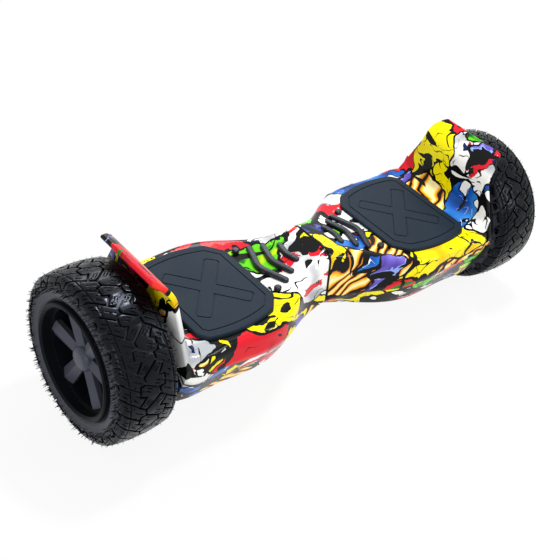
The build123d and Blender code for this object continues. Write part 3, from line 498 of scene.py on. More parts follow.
def unrolled(tree, place, seed, under):
    """Return coordinates that run along the board, up the fenders and down over the sides."""
    parts = node(tree, "ShaderNodeSeparateXYZ", {0: place}, out=None).outputs
    end = node(tree, "ShaderNodeMath", {0: parts[0]}, operation="SIGN")
    reach = node(tree, "ShaderNodeMath", {0: parts[0]}, operation="ABSOLUTE")
    far = node(tree, "ShaderNodeMath", {0: reach, 1: FENDER_START}, operation="GREATER_THAN")
    height = node(tree, "ShaderNodeMath", {0: parts[2], 1: FENDER_FOOT}, operation="SUBTRACT")
    height = node(tree, "ShaderNodeMath", {0: height, 1: 0.0}, operation="MAXIMUM")
    climb = node(tree, "ShaderNodeMath", {0: height, 1: far}, operation="MULTIPLY")
    along = node(tree, "ShaderNodeMath", {0: climb, 1: end, 2: parts[0]}, operation="MULTIPLY_ADD")
    low, high = (BELLY, parts[2]) if under else (parts[2], DECK_EDGE)
    drop = node(tree, "ShaderNodeMath", {0: high, 1: low}, operation="SUBTRACT")
    drop = node(tree, "ShaderNodeMath", {0: drop, 1: 0.0}, operation="MAXIMUM")
    side = node(tree, "ShaderNodeMath", {0: parts[1]}, operation="SIGN")
    across = node(tree, "ShaderNodeMath", {0: drop, 1: side, 2: parts[1]}, operation="MULTIPLY_ADD")
    return node(tree, "ShaderNodeCombineXYZ", {0: along, 1: across, 2: seed})


def warped(tree, vector, size, amount):
    """Return coordinates pushed about by noise, amount metres at most."""
    swirl = node(tree, "ShaderNodeTexNoise", {"Vector": vector, "Scale": 1 / size}, out=1)
    half = {0: swirl, 1: (0.5, 0.5, 0.5)}
    centred = node(tree, "ShaderNodeVectorMath", half, operation="SUBTRACT")
    push = {0: centred, "Scale": 2 * amount}
    pushed = node(tree, "ShaderNodeVectorMath", push, operation="SCALE")
    return node(tree, "ShaderNodeVectorMath", {0: vector, 1: pushed}, operation="ADD")


def stain(tree, picture, colour, vector, size, level, offset, turn=30, stretch=1.0):
    """Paint hard-edged patches over a picture where noise is above a level.

    The noise's features are size metres across and stretch times as long, turned by degrees, and
    offset is the place in the noise that they are read from.
    """
    placing = {
        "Vector": vector,
        "Location": (0, 0, offset),
        "Rotation": (0.0, 0.0, math.radians(turn)),
        "Scale": (1 / stretch, 1, 1),
    }
    moved = node(tree, "ShaderNodeMapping", placing)
    value = node(tree, "ShaderNodeTexNoise", {"Vector": moved, "Scale": 1 / size, "Detail": 1.0})
    mask = node(tree, "ShaderNodeMath", {0: value, 1: level}, operation="GREATER_THAN")
    return node(tree, "ShaderNodeMix", {"Factor": mask, 6: picture, 7: colour}, out=2, data_type="RGBA")


def stroke(tree, picture, colour, vector, size, offset, width, cover):
    """Draw brush lines over a picture that swell and run out.

    A line follows the middle of one noise and swells with another. Its width is a share of the
    first noise, and cover is how much of the second draws at all.
    """
    noises = []
    for depth, scale in ((offset, 1.0), (offset + 2.0, 1.7)):
        moved = node(tree, "ShaderNodeMapping", {"Vector": vector, "Location": (0, 0, depth)})
        wave = {"Vector": moved, "Scale": scale / size, "Detail": 1.0}
        noises.append(node(tree, "ShaderNodeTexNoise", wave))
    path, force = noises
    middle = node(tree, "ShaderNodeMath", {0: path, 1: 0.5}, operation="SUBTRACT")
    away = node(tree, "ShaderNodeMath", {0: middle}, operation="ABSOLUTE")
    limit = node(tree, "ShaderNodeMapRange", {0: force, 1: 1 - cover, 2: 0.85, 3: 0.0, 4: width})
    mask = node(tree, "ShaderNodeMath", {0: away, 1: limit}, operation="LESS_THAN")
    return node(tree, "ShaderNodeMix", {"Factor": mask, 6: picture, 7: colour}, out=2, data_type="RGBA")


def airbrush(tree, vector, size, offset, stops):
    """Return inks that run softly into one another."""
    moved = node(tree, "ShaderNodeMapping", {"Vector": vector, "Location": (0, 0, offset)})
    value = node(tree, "ShaderNodeTexNoise", {"Vector": moved, "Scale": 1 / size, "Detail": 1.5})
    return node(tree, "ShaderNodeValToRGB", {"Fac": value}, stops=stops)


def lemon_fill(tree, ink, flat, lively):
    """Lemon flats with an ochre shade, drawn cracks and black claws."""
    stops = ((0.0, ink["yellow"]), (0.52, ink["yellow"]), (0.68, ink["ochre"]))
    fill = airbrush(tree, flat, 0.050, 1.0, stops)
    fill = stain(tree, fill, ink["black"], lively, 0.038, 0.650, 5.0, 35, 2.4)
    fill = stain(tree, fill, ink["black"], lively, 0.012, 0.720, 6.0, -20, 3.0)
    fill = stroke(tree, fill, ink["black"], lively, 0.028, 60.0, 0.022, 0.62)
    return stroke(tree, fill, ink["black"], lively, 0.055, 2.0, 0.040, 0.62)


def ribbons_fill(tree, ink, flat, lively):
    """Bundles of golden ribbons with dark edges and pale cores."""
    bent = warped(tree, flat, 0.085, 0.045)
    turn = (0, 0, math.radians(RIBBON_TURN))
    turned = node(tree, "ShaderNodeMapping", {"Vector": bent, "Rotation": turn})
    weave = {"Vector": turned, "Scale": RIBBON_SCALE, "Distortion": 3.0, "Detail": 1.0, "Detail Scale": 2.0}
    band = node(tree, "ShaderNodeTexWave", weave, out=1)
    stops = (
        (0.00, ink["black"]),
        (0.13, ink["black"]),
        (0.20, ink["rust"]),
        (0.42, ink["orange"]),
        (0.78, ink["gold"]),
        (0.97, ink["cream"]),
    )
    return node(tree, "ShaderNodeValToRGB", {"Fac": band}, stops=stops)


def night_fill(tree, ink, flat, lively):
    """Black ground with slate smoke, loose pale scratches and yellow flecks."""
    stops = ((0.0, ink["black"]), (0.60, ink["black"]), (0.80, ink["slate"]))
    fill = airbrush(tree, flat, 0.035, 7.0, stops)
    fill = stroke(tree, fill, ink["white"], lively, 0.026, 4.0, 0.022, 0.50)
    return stain(tree, fill, ink["yellow"], lively, 0.024, 0.700, 8.0, 50, 3.0)


def ember_fill(tree, ink, flat, lively):
    """Red into orange, airbrushed, with hard black chips and green smears."""
    stops = ((0.30, ink["maroon"]), (0.42, ink["red"]), (0.58, ink["red"]), (0.70, ink["flame"]))
    fill = airbrush(tree, flat, 0.060, 3.0, stops)
    fill = stain(tree, fill, ink["green"], flat, 0.030, 0.690, 12.0, 60, 2.5)
    fill = stain(tree, fill, ink["black"], lively, 0.034, 0.635, 15.0)
    return stroke(tree, fill, ink["black"], lively, 0.045, 16.0, 0.035, 0.5)


def wave_fill(tree, ink, flat, lively):
    """Blue water with white crests drawn in black."""
    stops = ((0.35, ink["navy"]), (0.50, ink["blue"]), (0.70, ink["azure"]))
    fill = airbrush(tree, flat, 0.045, 5.0, stops)
    fill = stain(tree, fill, ink["black"], lively, 0.032, 0.575, 18.0, 25, 2.0)
    fill = stain(tree, fill, ink["white"], lively, 0.032, 0.600, 18.0, 25, 2.0)
    return stroke(tree, fill, ink["white"], lively, 0.030, 19.0, 0.020, 0.5)


def bone_fill(tree, ink, flat, lively):
    """Off-white with grey shading, ink contours and ragged red runs."""
    stops = ((0.34, ink["grey"]), (0.50, ink["white"]), (0.72, ink["white"]))
    fill = airbrush(tree, flat, 0.055, 8.0, stops)
    ragged = warped(tree, lively, 0.006, 0.004)
    fill = stain(tree, fill, ink["red"], ragged, 0.034, 0.610, 23.0, 70, 2.6)
    fill = stain(tree, fill, ink["navy"], lively, 0.030, 0.700, 25.0)
    return stroke(tree, fill, ink["black"], lively, 0.032, 24.0, 0.040, 0.62)


def shard_fill(tree, ink, flat, lively):
    """Purple splinters rimmed in pale blue on black."""
    tint = airbrush(tree, flat, 0.030, 31.0, ((0.40, ink["purple"]), (0.60, ink["violet"])))
    ragged = warped(tree, lively, 0.012, 0.005)
    fill = stain(tree, ink["black"], ink["mist"], ragged, 0.022, 0.470, 34.0, 65, 2.2)
    return stain(tree, fill, tint, ragged, 0.022, 0.510, 34.0, 65, 2.2)


def lime_fill(tree, ink, flat, lively):
    """Lime with dark green blotches and yellow lights."""
    stops = (
        (0.30, ink["moss"]),
        (0.38, ink["green"]),
        (0.44, ink["lime"]),
        (0.62, ink["lime"]),
        (0.78, ink["yellow"]),
    )
    fill = airbrush(tree, lively, 0.026, 36.0, stops)
    return stroke(tree, fill, ink["black"], lively, 0.030, 38.0, 0.025, 0.5)


FILLS = {
    "ribbons": ribbons_fill,
    "night": night_fill,
    "ember": ember_fill,
    "wave": wave_fill,
    "bone": bone_fill,
    "shard": shard_fill,
    "lime": lime_fill,
}


def printed_plastic(name, seed, under):
    """ABS, moulded, water-transfer printed and lacquered: comic-style abstract inks under gloss.

    The print is laid on unrolled coordinates, so it wraps over the edges as the real film does.
    """
    inks = bpy.context.scene.hoverboard_print
    ink = {key: list(getattr(inks, key)) for key in PrintSettings.__annotations__ if "seed" not in key}
    made, tree, shader, place = start_material(name)
    flat = unrolled(tree, place, seed, under)
    gentle = warped(tree, flat, 0.070, 0.020)
    lively = warped(tree, gentle, 0.022, 0.007)
    picture = lemon_fill(tree, ink, flat, lively)
    for key, size, level, offset in LAYERS:
        level = LOWER_LEVELS.get(key, level) if under else level
        fill = FILLS[key](tree, ink, flat, lively)
        for paint, start in ((ink["black"], level - OUTLINE), (fill, level)):
            picture = stain(tree, picture, paint, lively, size, start, offset, LAYER_TURN, LAYER_STRETCH)
    picture = stroke(tree, picture, ink["black"], gentle, 0.120, 50.0, 0.030, 0.5)
    # Paint a black band along the seam: painted shade of the gap between the halves
    parts = node(tree, "ShaderNodeSeparateXYZ", {0: place}, out=None).outputs
    reach = node(tree, "ShaderNodeMath", {0: parts[0]}, operation="ABSOLUTE")
    edge = node(tree, "ShaderNodeMath", {0: reach, 1: SEAM_SHADE_WIDTH}, operation="LESS_THAN")
    seam_shade_paint = {"Factor": edge, 6: picture, 7: ink["black"]}
    picture = node(tree, "ShaderNodeMix", seam_shade_paint, out=2, data_type="RGBA")
    tree.links.new(picture, shader.inputs["Base Color"])
    shader.inputs["Roughness"].default_value = 0.22
    shader.inputs["IOR"].default_value = 1.5
    shader.inputs["Specular IOR Level"].default_value = 0.05
    shader.inputs["Coat Weight"].default_value = 0.24
    shader.inputs["Coat Roughness"].default_value = 0.05
    grain(tree, place, shader, 0.004, 0.10, 0.00006, 1.0)
    return made


# ---------------------------------------------------------------- tyre shapes
# Arcs of the tread surface outward from the crown: radius in mm and the slope each ends at
TREAD_ARCS = ((187.0, 10.16), (4.0, 52.0), (20.4, 97.0))
# Cuts across the tread that let its blocks follow those arcs, in mm from the middle
TREAD_CUTS = (6.0, 12.0, 18.0, 24.0, 30.0, 33.2, 34.6, 36.1, 38.5, 41.0, 43.5, 46.0, 48.5)
# One pitch of blocks outboard of the middle, as (across, along) in mm. The inboard blocks are
# the same shapes turned end for end.
CHEVRON = (
    (15, 0), (9, 0.8), (-8, -8.6), (-9, -15.4), (9.7, -30.7), (16.9, -26.3), (8, -14.2), (16.2, -11.1),
)
POINTED_LUG = (
    (11.2, -15.1), (18.3, -12.4), (17.6, -5.1), (27.0, 1.8), (34.0, 6.9), (38.0, 9.7), (42.6, 10.6),
    (41.6, 8.4), (40.6, 4.6), (41.4, 0.8), (43.4, -1.9), (46.6, -3.4), (46.2, -6.2), (43.0, -8.4),
    (36.0, -10.3), (27.0, -17.6), (18.3, -24.6),
)
NOTCHED_LUG = (
    (17.4, -2.9), (16.9, 1.7), (10.1, 2.7), (11.3, 11.0), (18.9, 15.7), (20.6, 18.0), (27.0, 23.2),
    (36.0, 30.4), (42.0, 33.0), (46.4, 32.0), (47.0, 28.8), (45.4, 28.2), (45.4, 26.8), (47.4, 26.2),
    (47.4, 22.0), (45.4, 21.4), (45.4, 20.0), (47.2, 19.4), (46.6, 14.6), (42.4, 12.8), (36.0, 10.6),
    (27.0, 4.0),
)
TONGUE = (
    (50.8, 10.0), (47.2, 10.7), (44.8, 9.7), (43.0, 7.4), (42.4, 4.6), (43.1, 1.6), (45.0, -0.6),
    (47.6, -1.6), (50.8, -1.0),
)
# How far the blocks' sides stand back from those outlines, how far their feet reach below the
# grooves and how much their worn edges are rounded, in mm
BLOCK_MARGIN = 0.3
BLOCK_FOOT = 0.6
WORN_EDGE = 0.5
# Angle in degrees from which an edge of a block is worn round
WORN_ANGLE = 40
# How far a blank or a knife reaches past where it is cut or cuts, in mm
OVERSHOOT = 1.0
# Slits in those blocks: (across, along) of the middle, length and turn in degrees
SLITS = (
    (5.0, -4.4, 7.5, 29), (7.0, -8.0, 7.5, 29), (7.1, -21.2, 7.0, -39), (4.9, -23.8, 7.0, -39),
    (20.4, -9.4, 6.5, 36), (23.2, -15.0, 7.0, 36), (16.4, 6.4, 6.0, 36), (21.4, 9.6, 7.0, 36),
    (33.4, -1.6, 6.5, 36), (35.6, -5.6, 6.5, 36), (33.6, 18.4, 6.5, 36), (35.8, 24.2, 6.5, 36),
    (29.5, -6.4, 17.0, 90), (29.5, 15.2, 17.5, 90),
)
SLIT_DEPTH = 2.6
# Round pin pits: (across, along)
PINS = ((13.0, -5.2), (12.6, -25.6), (22.6, 2.6), (24.6, -12.4), (49.2, 4.6), (25.6, 18.6))
PIN_RADIUS = 1.1
PIN_DEPTH = 1.4
# Cuts along the tread that let its blocks follow the wheel round, in mm
ROUND_CUTS = range(-56, 48, 4)
# Sidewall with its moulded rings and bead, then the lining, as (offset from the middle, radius) in mm
SIDEWALL = [
    (39.3, 91.6), (39.9, 90.9), (40.3, 90.3), (40.3, 89.4), (39.7, 88.8), (39.4, 86.4), (38.7, 83.2),
    (38.1, 81.4), (38.4, 80.7), (38.0, 79.9), (37.0, 78.0), (36.2, 76.4), (35.2, 75.4), (34.5, 74.0),
    (34.5, 72.0),
]
LINING = [(29.5, 72.0), (35.5, 88.7), (30.0, 96.4), (16.0, 100.2), (0.0, 101.0)]
# The grooves' floor outward from the middle: across, and its rise towards the shoulder, in mm
GROOVE_FLOOR = (
    (0, 0), (10, 0), (20, 0), (28, 0), (33.2, 0), (36, 0), (39, 0.6), (42, 1.4), (45, 2.2), (48, 3.0),
)
# Where the floor runs out into the sidewall: across and height over the tread, in mm
FLOOR_END = (50.4, -0.8)
# Height below which the ground has worn the hairs away, and the radius of their tips
WORN_HEIGHT = 12 * MM
HAIR_TIP = 0.2 * MM
# Height over the tread of a hair's root and of the point that it aims at, in mm
HAIR_ROOT = -0.3
HAIR_AIM = 3.0
# How far the hairs stand off their places, across in mm and round in radians, how far they lean
# and the share of its length that the shortest keeps
HAIR_SHIFT = 1.2
HAIR_TURN = 0.05
HAIR_LEAN = 0.35
HAIR_SHORTEST = 0.6
# Vent hairs of half a pitch: across and along in mm, and their share of the full length
HAIRS = (
    (-51.0, 6, 0.9), (-49.0, -16, 0.9), (-46.0, 14, 0.8), (-44.0, -4, 0.8), (-36.5, 9, 0.6),
    (-30.0, -3, 0.5), (-19.0, 13, 0.45), (-7.0, 2, 0.45), (7.0, -12, 0.45), (19.0, 9, 0.45),
    (30.0, -20, 0.5), (36.5, 4, 0.6), (37.0, -14, 0.6), (43.0, -4, 0.8), (44.0, 14, 0.8),
    (46.0, -12, 0.9), (47.5, 8, 1.0), (49.0, 2, 1.0), (50.5, 16, 1.0), (51.0, -5, 1.0),
    (51.5, -17, 1.0), (53.0, -10, 0.9), (53.0, 10, 0.9), (55.0, 1, 0.8),
)
# How far along the turned shapes are from the others, and the chevrons from the pitch's start
TURNED_SHIFT = -5.7
TREAD_START = -9.0


def tread_point(t, height):
    """Return (offset from the middle, radius) in mm, t across the tread and height above it."""
    side = 1 if t >= 0 else -1
    left = abs(t)
    s, r, angle = 0.0, TYRE_RADIUS / MM, 0.0
    for radius, end in TREAD_ARCS:
        turned = min(angle + left / radius, math.radians(end))
        s += radius * (math.sin(turned) - math.sin(angle))
        r += radius * (math.cos(turned) - math.cos(angle))
        left -= radius * (turned - angle)
        angle = turned
    s += left * math.cos(angle)
    r -= left * math.sin(angle)
    return side * (s + height * math.sin(angle)), r + height * math.cos(angle)


def both_rows(points):
    """Yield a tread shape's (along, across) points for the outboard and the inboard half."""
    yield [(TREAD_START + v, s) for s, v in points]
    yield [(TREAD_START + TURNED_SHIFT - v, -s) for s, v in points]


def twice_area(outline):
    """Return twice an outline's area, negative where it runs clockwise."""
    return sum(a[0] * b[1] - b[0] * a[1] for a, b in zip(outline, outline[1:] + outline[:1]))


def prism(outline, low, high):
    """Return a bmesh prism over a flat outline, in mm."""
    made = bmesh.new()
    if twice_area(outline) < 0:
        outline = outline[::-1]
    bottom = [made.verts.new((u, v, low)) for u, v in outline]
    top = [made.verts.new((u, v, high)) for u, v in outline]
    made.faces.new(top)
    made.faces.new(bottom[::-1])
    for i in range(len(outline)):
        j = (i + 1) % len(outline)
        made.faces.new((bottom[i], bottom[j], top[j], top[i]))
    return made


def shrunk(outline, margin):
    """Return an outline with its sides moved inward by a margin."""
    turn = math.copysign(1.0, twice_area(outline))
    points = [Vector(point) for point in outline]
    made = []
    for before, here, after in zip(points[-1:] + points[:-1], points, points[1:] + points[:1]):
        first, second = (here - before).normalized(), (after - here).normalized()
        normals = [turn * Vector((-way.y, way.x)) for way in (first, second)]
        corner = (normals[0] + normals[1]).normalized()
        made.append(tuple(here + corner * (margin / max(corner.dot(normals[0]), 0.5))))
    return made


def add_part(whole, part):
    """Add a bmesh to another and free it."""
    mesh = to_mesh(part, "part")
    whole.from_mesh(mesh)
    bpy.data.meshes.remove(mesh)


def apply_modifiers(piece, name):
    """Return the evaluated mesh of an object and remove the object."""
    graph = bpy.context.evaluated_depsgraph_get()
    mesh = bpy.data.meshes.new_from_object(piece.evaluated_get(graph))
    mesh.name = name
    bpy.data.objects.remove(piece)
    return mesh


def scratch_object(name, mesh):
    """Return a new object in the scene that holds a mesh."""
    piece = bpy.data.objects.new(name, mesh)
    bpy.context.scene.collection.objects.link(piece)
    return piece


def cut_out(piece, knife, name):
    """Cut a knife's solids out of an object by a boolean modifier."""
    cut = piece.modifiers.new(name, "BOOLEAN")
    cut.object = knife
    cut.operation = "DIFFERENCE"
    cut.solver = "EXACT"
    cut.use_self = True


def slit_corners(s, v, length, turn, width):
    """Return the corners of a slit about (s, v), in mm, turned by degrees from straight across."""
    angle = math.radians(turn)
    c, d = math.cos(angle) * length / 2, math.sin(angle) * length / 2
    a, b = width * d / length, width * c / length
    return [
        (s + c + a, v + d - b),
        (s + c - a, v + d + b),
        (s - c - a, v - d + b),
        (s - c + a, v - d - b),
    ]


def tread_knives(slit_width):
    """Return the bmesh of the slits and pin pits of one flat pitch."""
    knives = bmesh.new()
    for s, v, length, turn in SLITS:
        for outline in both_rows(slit_corners(s, v, length, turn, slit_width)):
            add_part(knives, prism(outline, -SLIT_DEPTH, OVERSHOOT))
    eighths = [k * math.pi / 4 for k in range(8)]
    for s, v in PINS:
        ring = [(s + PIN_RADIUS * math.cos(a), v + PIN_RADIUS * math.sin(a)) for a in eighths]
        for outline in both_rows(ring):
            add_part(knives, prism(outline, -PIN_DEPTH, OVERSHOOT))
    return knives


def flat_pitch(foot, slit_width):
    """Return the mesh of one pitch of tread blocks laid flat, worn round at their edges."""
    blocks = bmesh.new()
    for shape in (CHEVRON, POINTED_LUG, NOTCHED_LUG, TONGUE):
        for outline in both_rows(shape):
            add_part(blocks, prism(shrunk(outline, BLOCK_MARGIN), foot - OVERSHOOT, 0.0))
    body = scratch_object("tread_flat", to_mesh(blocks, "tread_flat"))
    knife = scratch_object("tread_slits", to_mesh(tread_knives(slit_width), "tread_slits"))
    cut_out(body, knife, "Slits")
    round_off = body.modifiers.new("Worn edges", "BEVEL")
    round_off.width = WORN_EDGE
    round_off.segments = 2
    round_off.limit_method = "ANGLE"
    round_off.angle_limit = math.radians(WORN_ANGLE)
    mesh = apply_modifiers(body, "tread_pitch")
    bpy.data.objects.remove(knife)
    return mesh


def halve(made, spot, normal, **keep):
    """Cut a whole bmesh along a plane."""
    everything = made.verts[:] + made.edges[:] + made.faces[:]
    bmesh.ops.bisect_plane(made, geom=everything, plane_co=spot, plane_no=normal, **keep)


def tread_pitch(sizes):
    """Return the mesh of one pitch of tread blocks, bent onto the tyre about the axle at z 0."""
    foot = -sizes.depth / MM - BLOCK_FOOT
    mesh = flat_pitch(foot, sizes.slit_width / MM)
    bent = bmesh.new()
    bent.from_mesh(mesh)
    halve(bent, (0, 0, foot), (0, 0, -1), clear_outer=True)
    for k in ROUND_CUTS:
        halve(bent, (k, 0, 0), (1, 0, 0))
    for k in TREAD_CUTS:
        for side in (-1, 1):
            halve(bent, (0, side * k, 0), (0, 1, 0))
    for vert in bent.verts:
        u, t, height = vert.co
        s, r = tread_point(t, height)
        angle = u * MM / TYRE_RADIUS
        vert.co = (TYRE_MID + s * MM, r * MM * math.sin(angle), r * MM * math.cos(angle))
    bmesh.ops.holes_fill(bent, edges=[edge for edge in bent.edges if edge.is_boundary])
    bmesh.ops.recalc_face_normals(bent, faces=bent.faces)
    bent.to_mesh(mesh)
    bent.free()
    shade_by_angle(mesh, 34)
    return mesh


def grown(mesh, name, tree, sizes):
    """Return the mesh that a geometry node tree makes of another, given the tree's sizes."""
    piece = scratch_object(name, mesh)
    add_tree(piece, tree, sizes)
    made = apply_modifiers(piece, name)
    bpy.data.node_groups.remove(tree)
    return made


def ringed(mesh, name, count, material):
    """Return a mesh repeated round the axle by Geometry Nodes."""
    tree, given = start_geometry(name, (("Count", "Int"), ("Axle height", "Float")))
    spots = node(tree, "GeometryNodeMeshLine", {"Count": given["Count"], "Offset": (0.0, 0.0, 0.0)})
    step = node(tree, "ShaderNodeMath", {0: 2 * math.pi, 1: given["Count"]}, operation="DIVIDE")
    index = node(tree, "GeometryNodeInputIndex")
    angle = node(tree, "ShaderNodeMath", {0: index, 1: step}, operation="MULTIPLY")
    turn = node(tree, "ShaderNodeCombineXYZ", {0: angle})
    placed = {"Points": spots, "Instance": given["Geometry"], "Rotation": turn}
    ring = node(tree, "GeometryNodeInstanceOnPoints", placed)
    lift = node(tree, "ShaderNodeCombineXYZ", {2: given["Axle height"]})
    move = {"Instances": ring, "Translation": lift, "Local Space": False}
    end_geometry(tree, node(tree, "GeometryNodeTranslateInstances", move), material)
    return grown(mesh, name, tree, (count, AXLE_Z))


def carcass(sizes):
    """Return the bmesh of the tyre under its tread: tread floor, sidewalls, beads and lining."""
    floor = -sizes.depth / MM
    half = [tread_point(t, floor + rise) for t, rise in GROOVE_FLOOR]
    half += [tread_point(*FLOOR_END), *SIDEWALL]
    profile = [(-s, r) for s, r in half[:0:-1]] + half + LINING + [(-s, r) for s, r in LINING[-2::-1]]
    return lathe([(TYRE_MID + s * MM, r * MM) for s, r in profile], steps=240)


def hair_roots(sizes):
    """Return the places, directions and relative lengths of one tyre's vent hairs.

    They lean about and differ in length, and the ground has worn away those under the tyre.
    """
    draw = random.Random(11)
    roots = []
    for k in range(2 * sizes.pitches):
        for t, u, share in HAIRS:
            t += draw.uniform(-HAIR_SHIFT, HAIR_SHIFT)
            s, r = tread_point(t, HAIR_ROOT)
            far_s, far_r = tread_point(t, HAIR_AIM)
            angle = math.pi * k / sizes.pitches + u * MM / TYRE_RADIUS
            angle += draw.uniform(-HAIR_TURN, HAIR_TURN)
            y, z = math.sin(angle), math.cos(angle)
            base = Vector((TYRE_MID + s * MM, r * MM * y, AXLE_Z + r * MM * z))
            tip = Vector((TYRE_MID + far_s * MM, far_r * MM * y, AXLE_Z + far_r * MM * z))
            way = (tip - base).normalized()
            way += Vector([draw.uniform(-HAIR_LEAN, HAIR_LEAN) for _ in range(3)])
            way.normalize()
            length = share * draw.uniform(HAIR_SHORTEST, 1.0)
            if base.z > WORN_HEIGHT:
                roots.append((base, way, length))
    return roots


def vent_hairs(sizes, material):
    """Return the mesh of one tyre's vent hairs, stood on their roots by Geometry Nodes."""
    roots = hair_roots(sizes)
    mesh = bpy.data.meshes.new("hair_roots")
    mesh.from_pydata([base for base, way, length in roots], [], [])
    ways = mesh.attributes.new("way", "FLOAT_VECTOR", "POINT")
    ways.data.foreach_set("vector", [c for base, way, length in roots for c in way])
    lengths = mesh.attributes.new("size", "FLOAT", "POINT")
    lengths.data.foreach_set("value", [length for base, way, length in roots])
    tree, given = start_geometry("Vent hairs", (("Length", "Float"), ("Radius", "Float")))
    shape = {"Vertices": 4, "Radius Top": HAIR_TIP}
    shape |= {"Radius Bottom": given["Radius"], "Depth": given["Length"]}
    hair = node(tree, "GeometryNodeMeshCone", shape)
    way = node(tree, "GeometryNodeInputNamedAttribute", {"Name": "way"}, data_type="FLOAT_VECTOR")
    size = node(tree, "GeometryNodeInputNamedAttribute", {"Name": "size"}, data_type="FLOAT")
    turned = node(tree, "FunctionNodeAlignRotationToVector", {"Vector": way}, axis="Z")
    placed = {"Points": given["Geometry"], "Instance": hair, "Rotation": turned, "Scale": size}
    end_geometry(tree, node(tree, "GeometryNodeInstanceOnPoints", placed), material)
    return grown(mesh, "vent_hairs", tree, (sizes.hair_length, sizes.hair_radius))


# ---------------------------------------------------------------- screws and the button's mark
# Pan head of a screw from its top to its seat, as (radius, height) in mm, and its cross recess
HEAD_PROFILE = [(0.0, -3.0), (1.6, -3.0), (3.0, -2.6), (3.8, -1.7), (4.0, -0.8), (4.0, 0.0), (0.0, 0.0)]
HEAD_HEIGHT = 3.0
# Points nearer than this belong to one screw
SCREW_SPACING = 12 * MM
CROSS_LENGTH = 4.4
CROSS_WIDTH = 0.9
CROSS_DEPTH = 1.5
# The on-off mark: radii of its open ring, where the ring starts and how far it runs in degrees,
# and the bar's width, length and middle, in mm
MARK_RADII = (2.6, 3.3)
MARK_START = 125
MARK_RUN = 290
MARK_BAR = (0.75, 3.0, 2.2)
# How far the mark stands in and out of the button's face, in mm
MARK_SINK = 0.2
MARK_RISE = 0.25


def box_part(whole, low, high):
    """Add a box between two corners to a bmesh."""
    for vert in bmesh.ops.create_cube(whole, size=1.0)["verts"]:
        vert.co = [a + (b - a) * (c + 0.5) for a, b, c in zip(low, high, vert.co)]


def power_mark(low, high):
    """Return the mesh of the raised on-off mark on the face of a button between two corners."""
    middle_x, middle_z = (low.x + high.x) / 2, (low.z + high.z) / 2
    back, front = high.y - MARK_SINK * MM, high.y + MARK_RISE * MM
    inner, outer = (radius * MM for radius in MARK_RADII)
    made = bmesh.new()
    steps = 22
    rings = []
    for k in range(steps + 1):
        angle = math.radians(MARK_START + MARK_RUN * k / steps)
        x, z = math.cos(angle), math.sin(angle)
        corners = ((inner, back), (inner, front), (outer, front), (outer, back))
        rings.append([made.verts.new((middle_x + r * x, y, middle_z + r * z)) for r, y in corners])
    for here, there in zip(rings, rings[1:]):
        for i in range(4):
            j = (i + 1) % 4
            made.faces.new((here[i], here[j], there[j], there[i]))
    made.faces.new(rings[0])
    made.faces.new(rings[-1])
    width, length, lift = (size * MM for size in MARK_BAR)
    low_corner = (middle_x - width / 2, back, middle_z + lift - length / 2)
    high_corner = (middle_x + width / 2, front, middle_z + lift + length / 2)
    box_part(made, low_corner, high_corner)
    bmesh.ops.recalc_face_normals(made, faces=made.faces)
    return to_mesh(made, "power_mark")


def screw_head():
    """Return the mesh of a pan-head screw with a cross recess, its seat at the origin facing up."""
    made = bmesh.new()
    steps = 24
    angles = [2 * math.pi * k / steps for k in range(steps)]
    rings = []
    for r, z in HEAD_PROFILE:
        turns = angles if r else angles[:1]
        rings.append([made.verts.new((r * MM * math.cos(a), r * MM * math.sin(a), z * MM)) for a in turns])
    for low, high in zip(rings, rings[1:]):
        for k in range(steps):
            j = (k + 1) % steps
            corners = [low[k % len(low)], low[j % len(low)], high[j % len(high)], high[k % len(high)]]
            made.faces.new(list(dict.fromkeys(corners)))
    bmesh.ops.recalc_face_normals(made, faces=made.faces)
    head = scratch_object("screw_head", to_mesh(made, "screw_head"))
    cross = bmesh.new()
    for long, wide in ((CROSS_LENGTH, CROSS_WIDTH), (CROSS_WIDTH, CROSS_LENGTH)):
        x, y = long / 2 * MM, wide / 2 * MM
        top, floor = -(HEAD_HEIGHT + CROSS_DEPTH) * MM, -(HEAD_HEIGHT - CROSS_DEPTH) * MM
        box_part(cross, (-x, -y, top), (x, y, floor))
    knife = scratch_object("screw_cross", to_mesh(cross, "screw_cross"))
    cut_out(head, knife, "Recess")
    mesh = apply_modifiers(head, "screw_head")
    bpy.data.objects.remove(knife)
    shade_by_angle(mesh, 35)
    return mesh


def scattered(name, part_mesh, spots, material):
    """Return a mesh of a part put on every (place, turn) spot by Geometry Nodes."""
    part = scratch_object("part", part_mesh.copy())
    mesh = bpy.data.meshes.new(name)
    mesh.from_pydata([place for place, turn in spots], [], [])
    turns = mesh.attributes.new("turn", "FLOAT", "POINT")
    turns.data.foreach_set("value", [turn for place, turn in spots])
    tree, given = start_geometry("Scatter", (("Part", "Object"),))
    shape = node(tree, "GeometryNodeObjectInfo", {"Object": given["Part"]}, out=4)
    angle = node(tree, "GeometryNodeInputNamedAttribute", {"Name": "turn"}, data_type="FLOAT")
    turn = node(tree, "ShaderNodeCombineXYZ", {2: angle})
    placed = {"Points": given["Geometry"], "Instance": shape, "Rotation": turn}
    end_geometry(tree, node(tree, "GeometryNodeInstanceOnPoints", placed), material)
    made = grown(mesh, name, tree, (part,))
    bpy.data.objects.remove(part)
    return made


def screw_places(mesh):
    """Return the seat of each screw's head, read from the screws' own points."""
    spots = {}
    for vert in mesh.vertices:
        key = next((k for k in spots if math.dist(vert.co.xy, k) < SCREW_SPACING), None)
        if key is None:
            key = (vert.co.x, vert.co.y)
            spots[key] = []
        spots[key].append(vert.co)
    places = []
    for points in spots.values():
        x = (min(p.x for p in points) + max(p.x for p in points)) / 2
        y = (min(p.y for p in points) + max(p.y for p in points)) / 2
        places.append(Vector((x, y, min(p.z for p in points) + HEAD_HEIGHT * MM)))
    return places


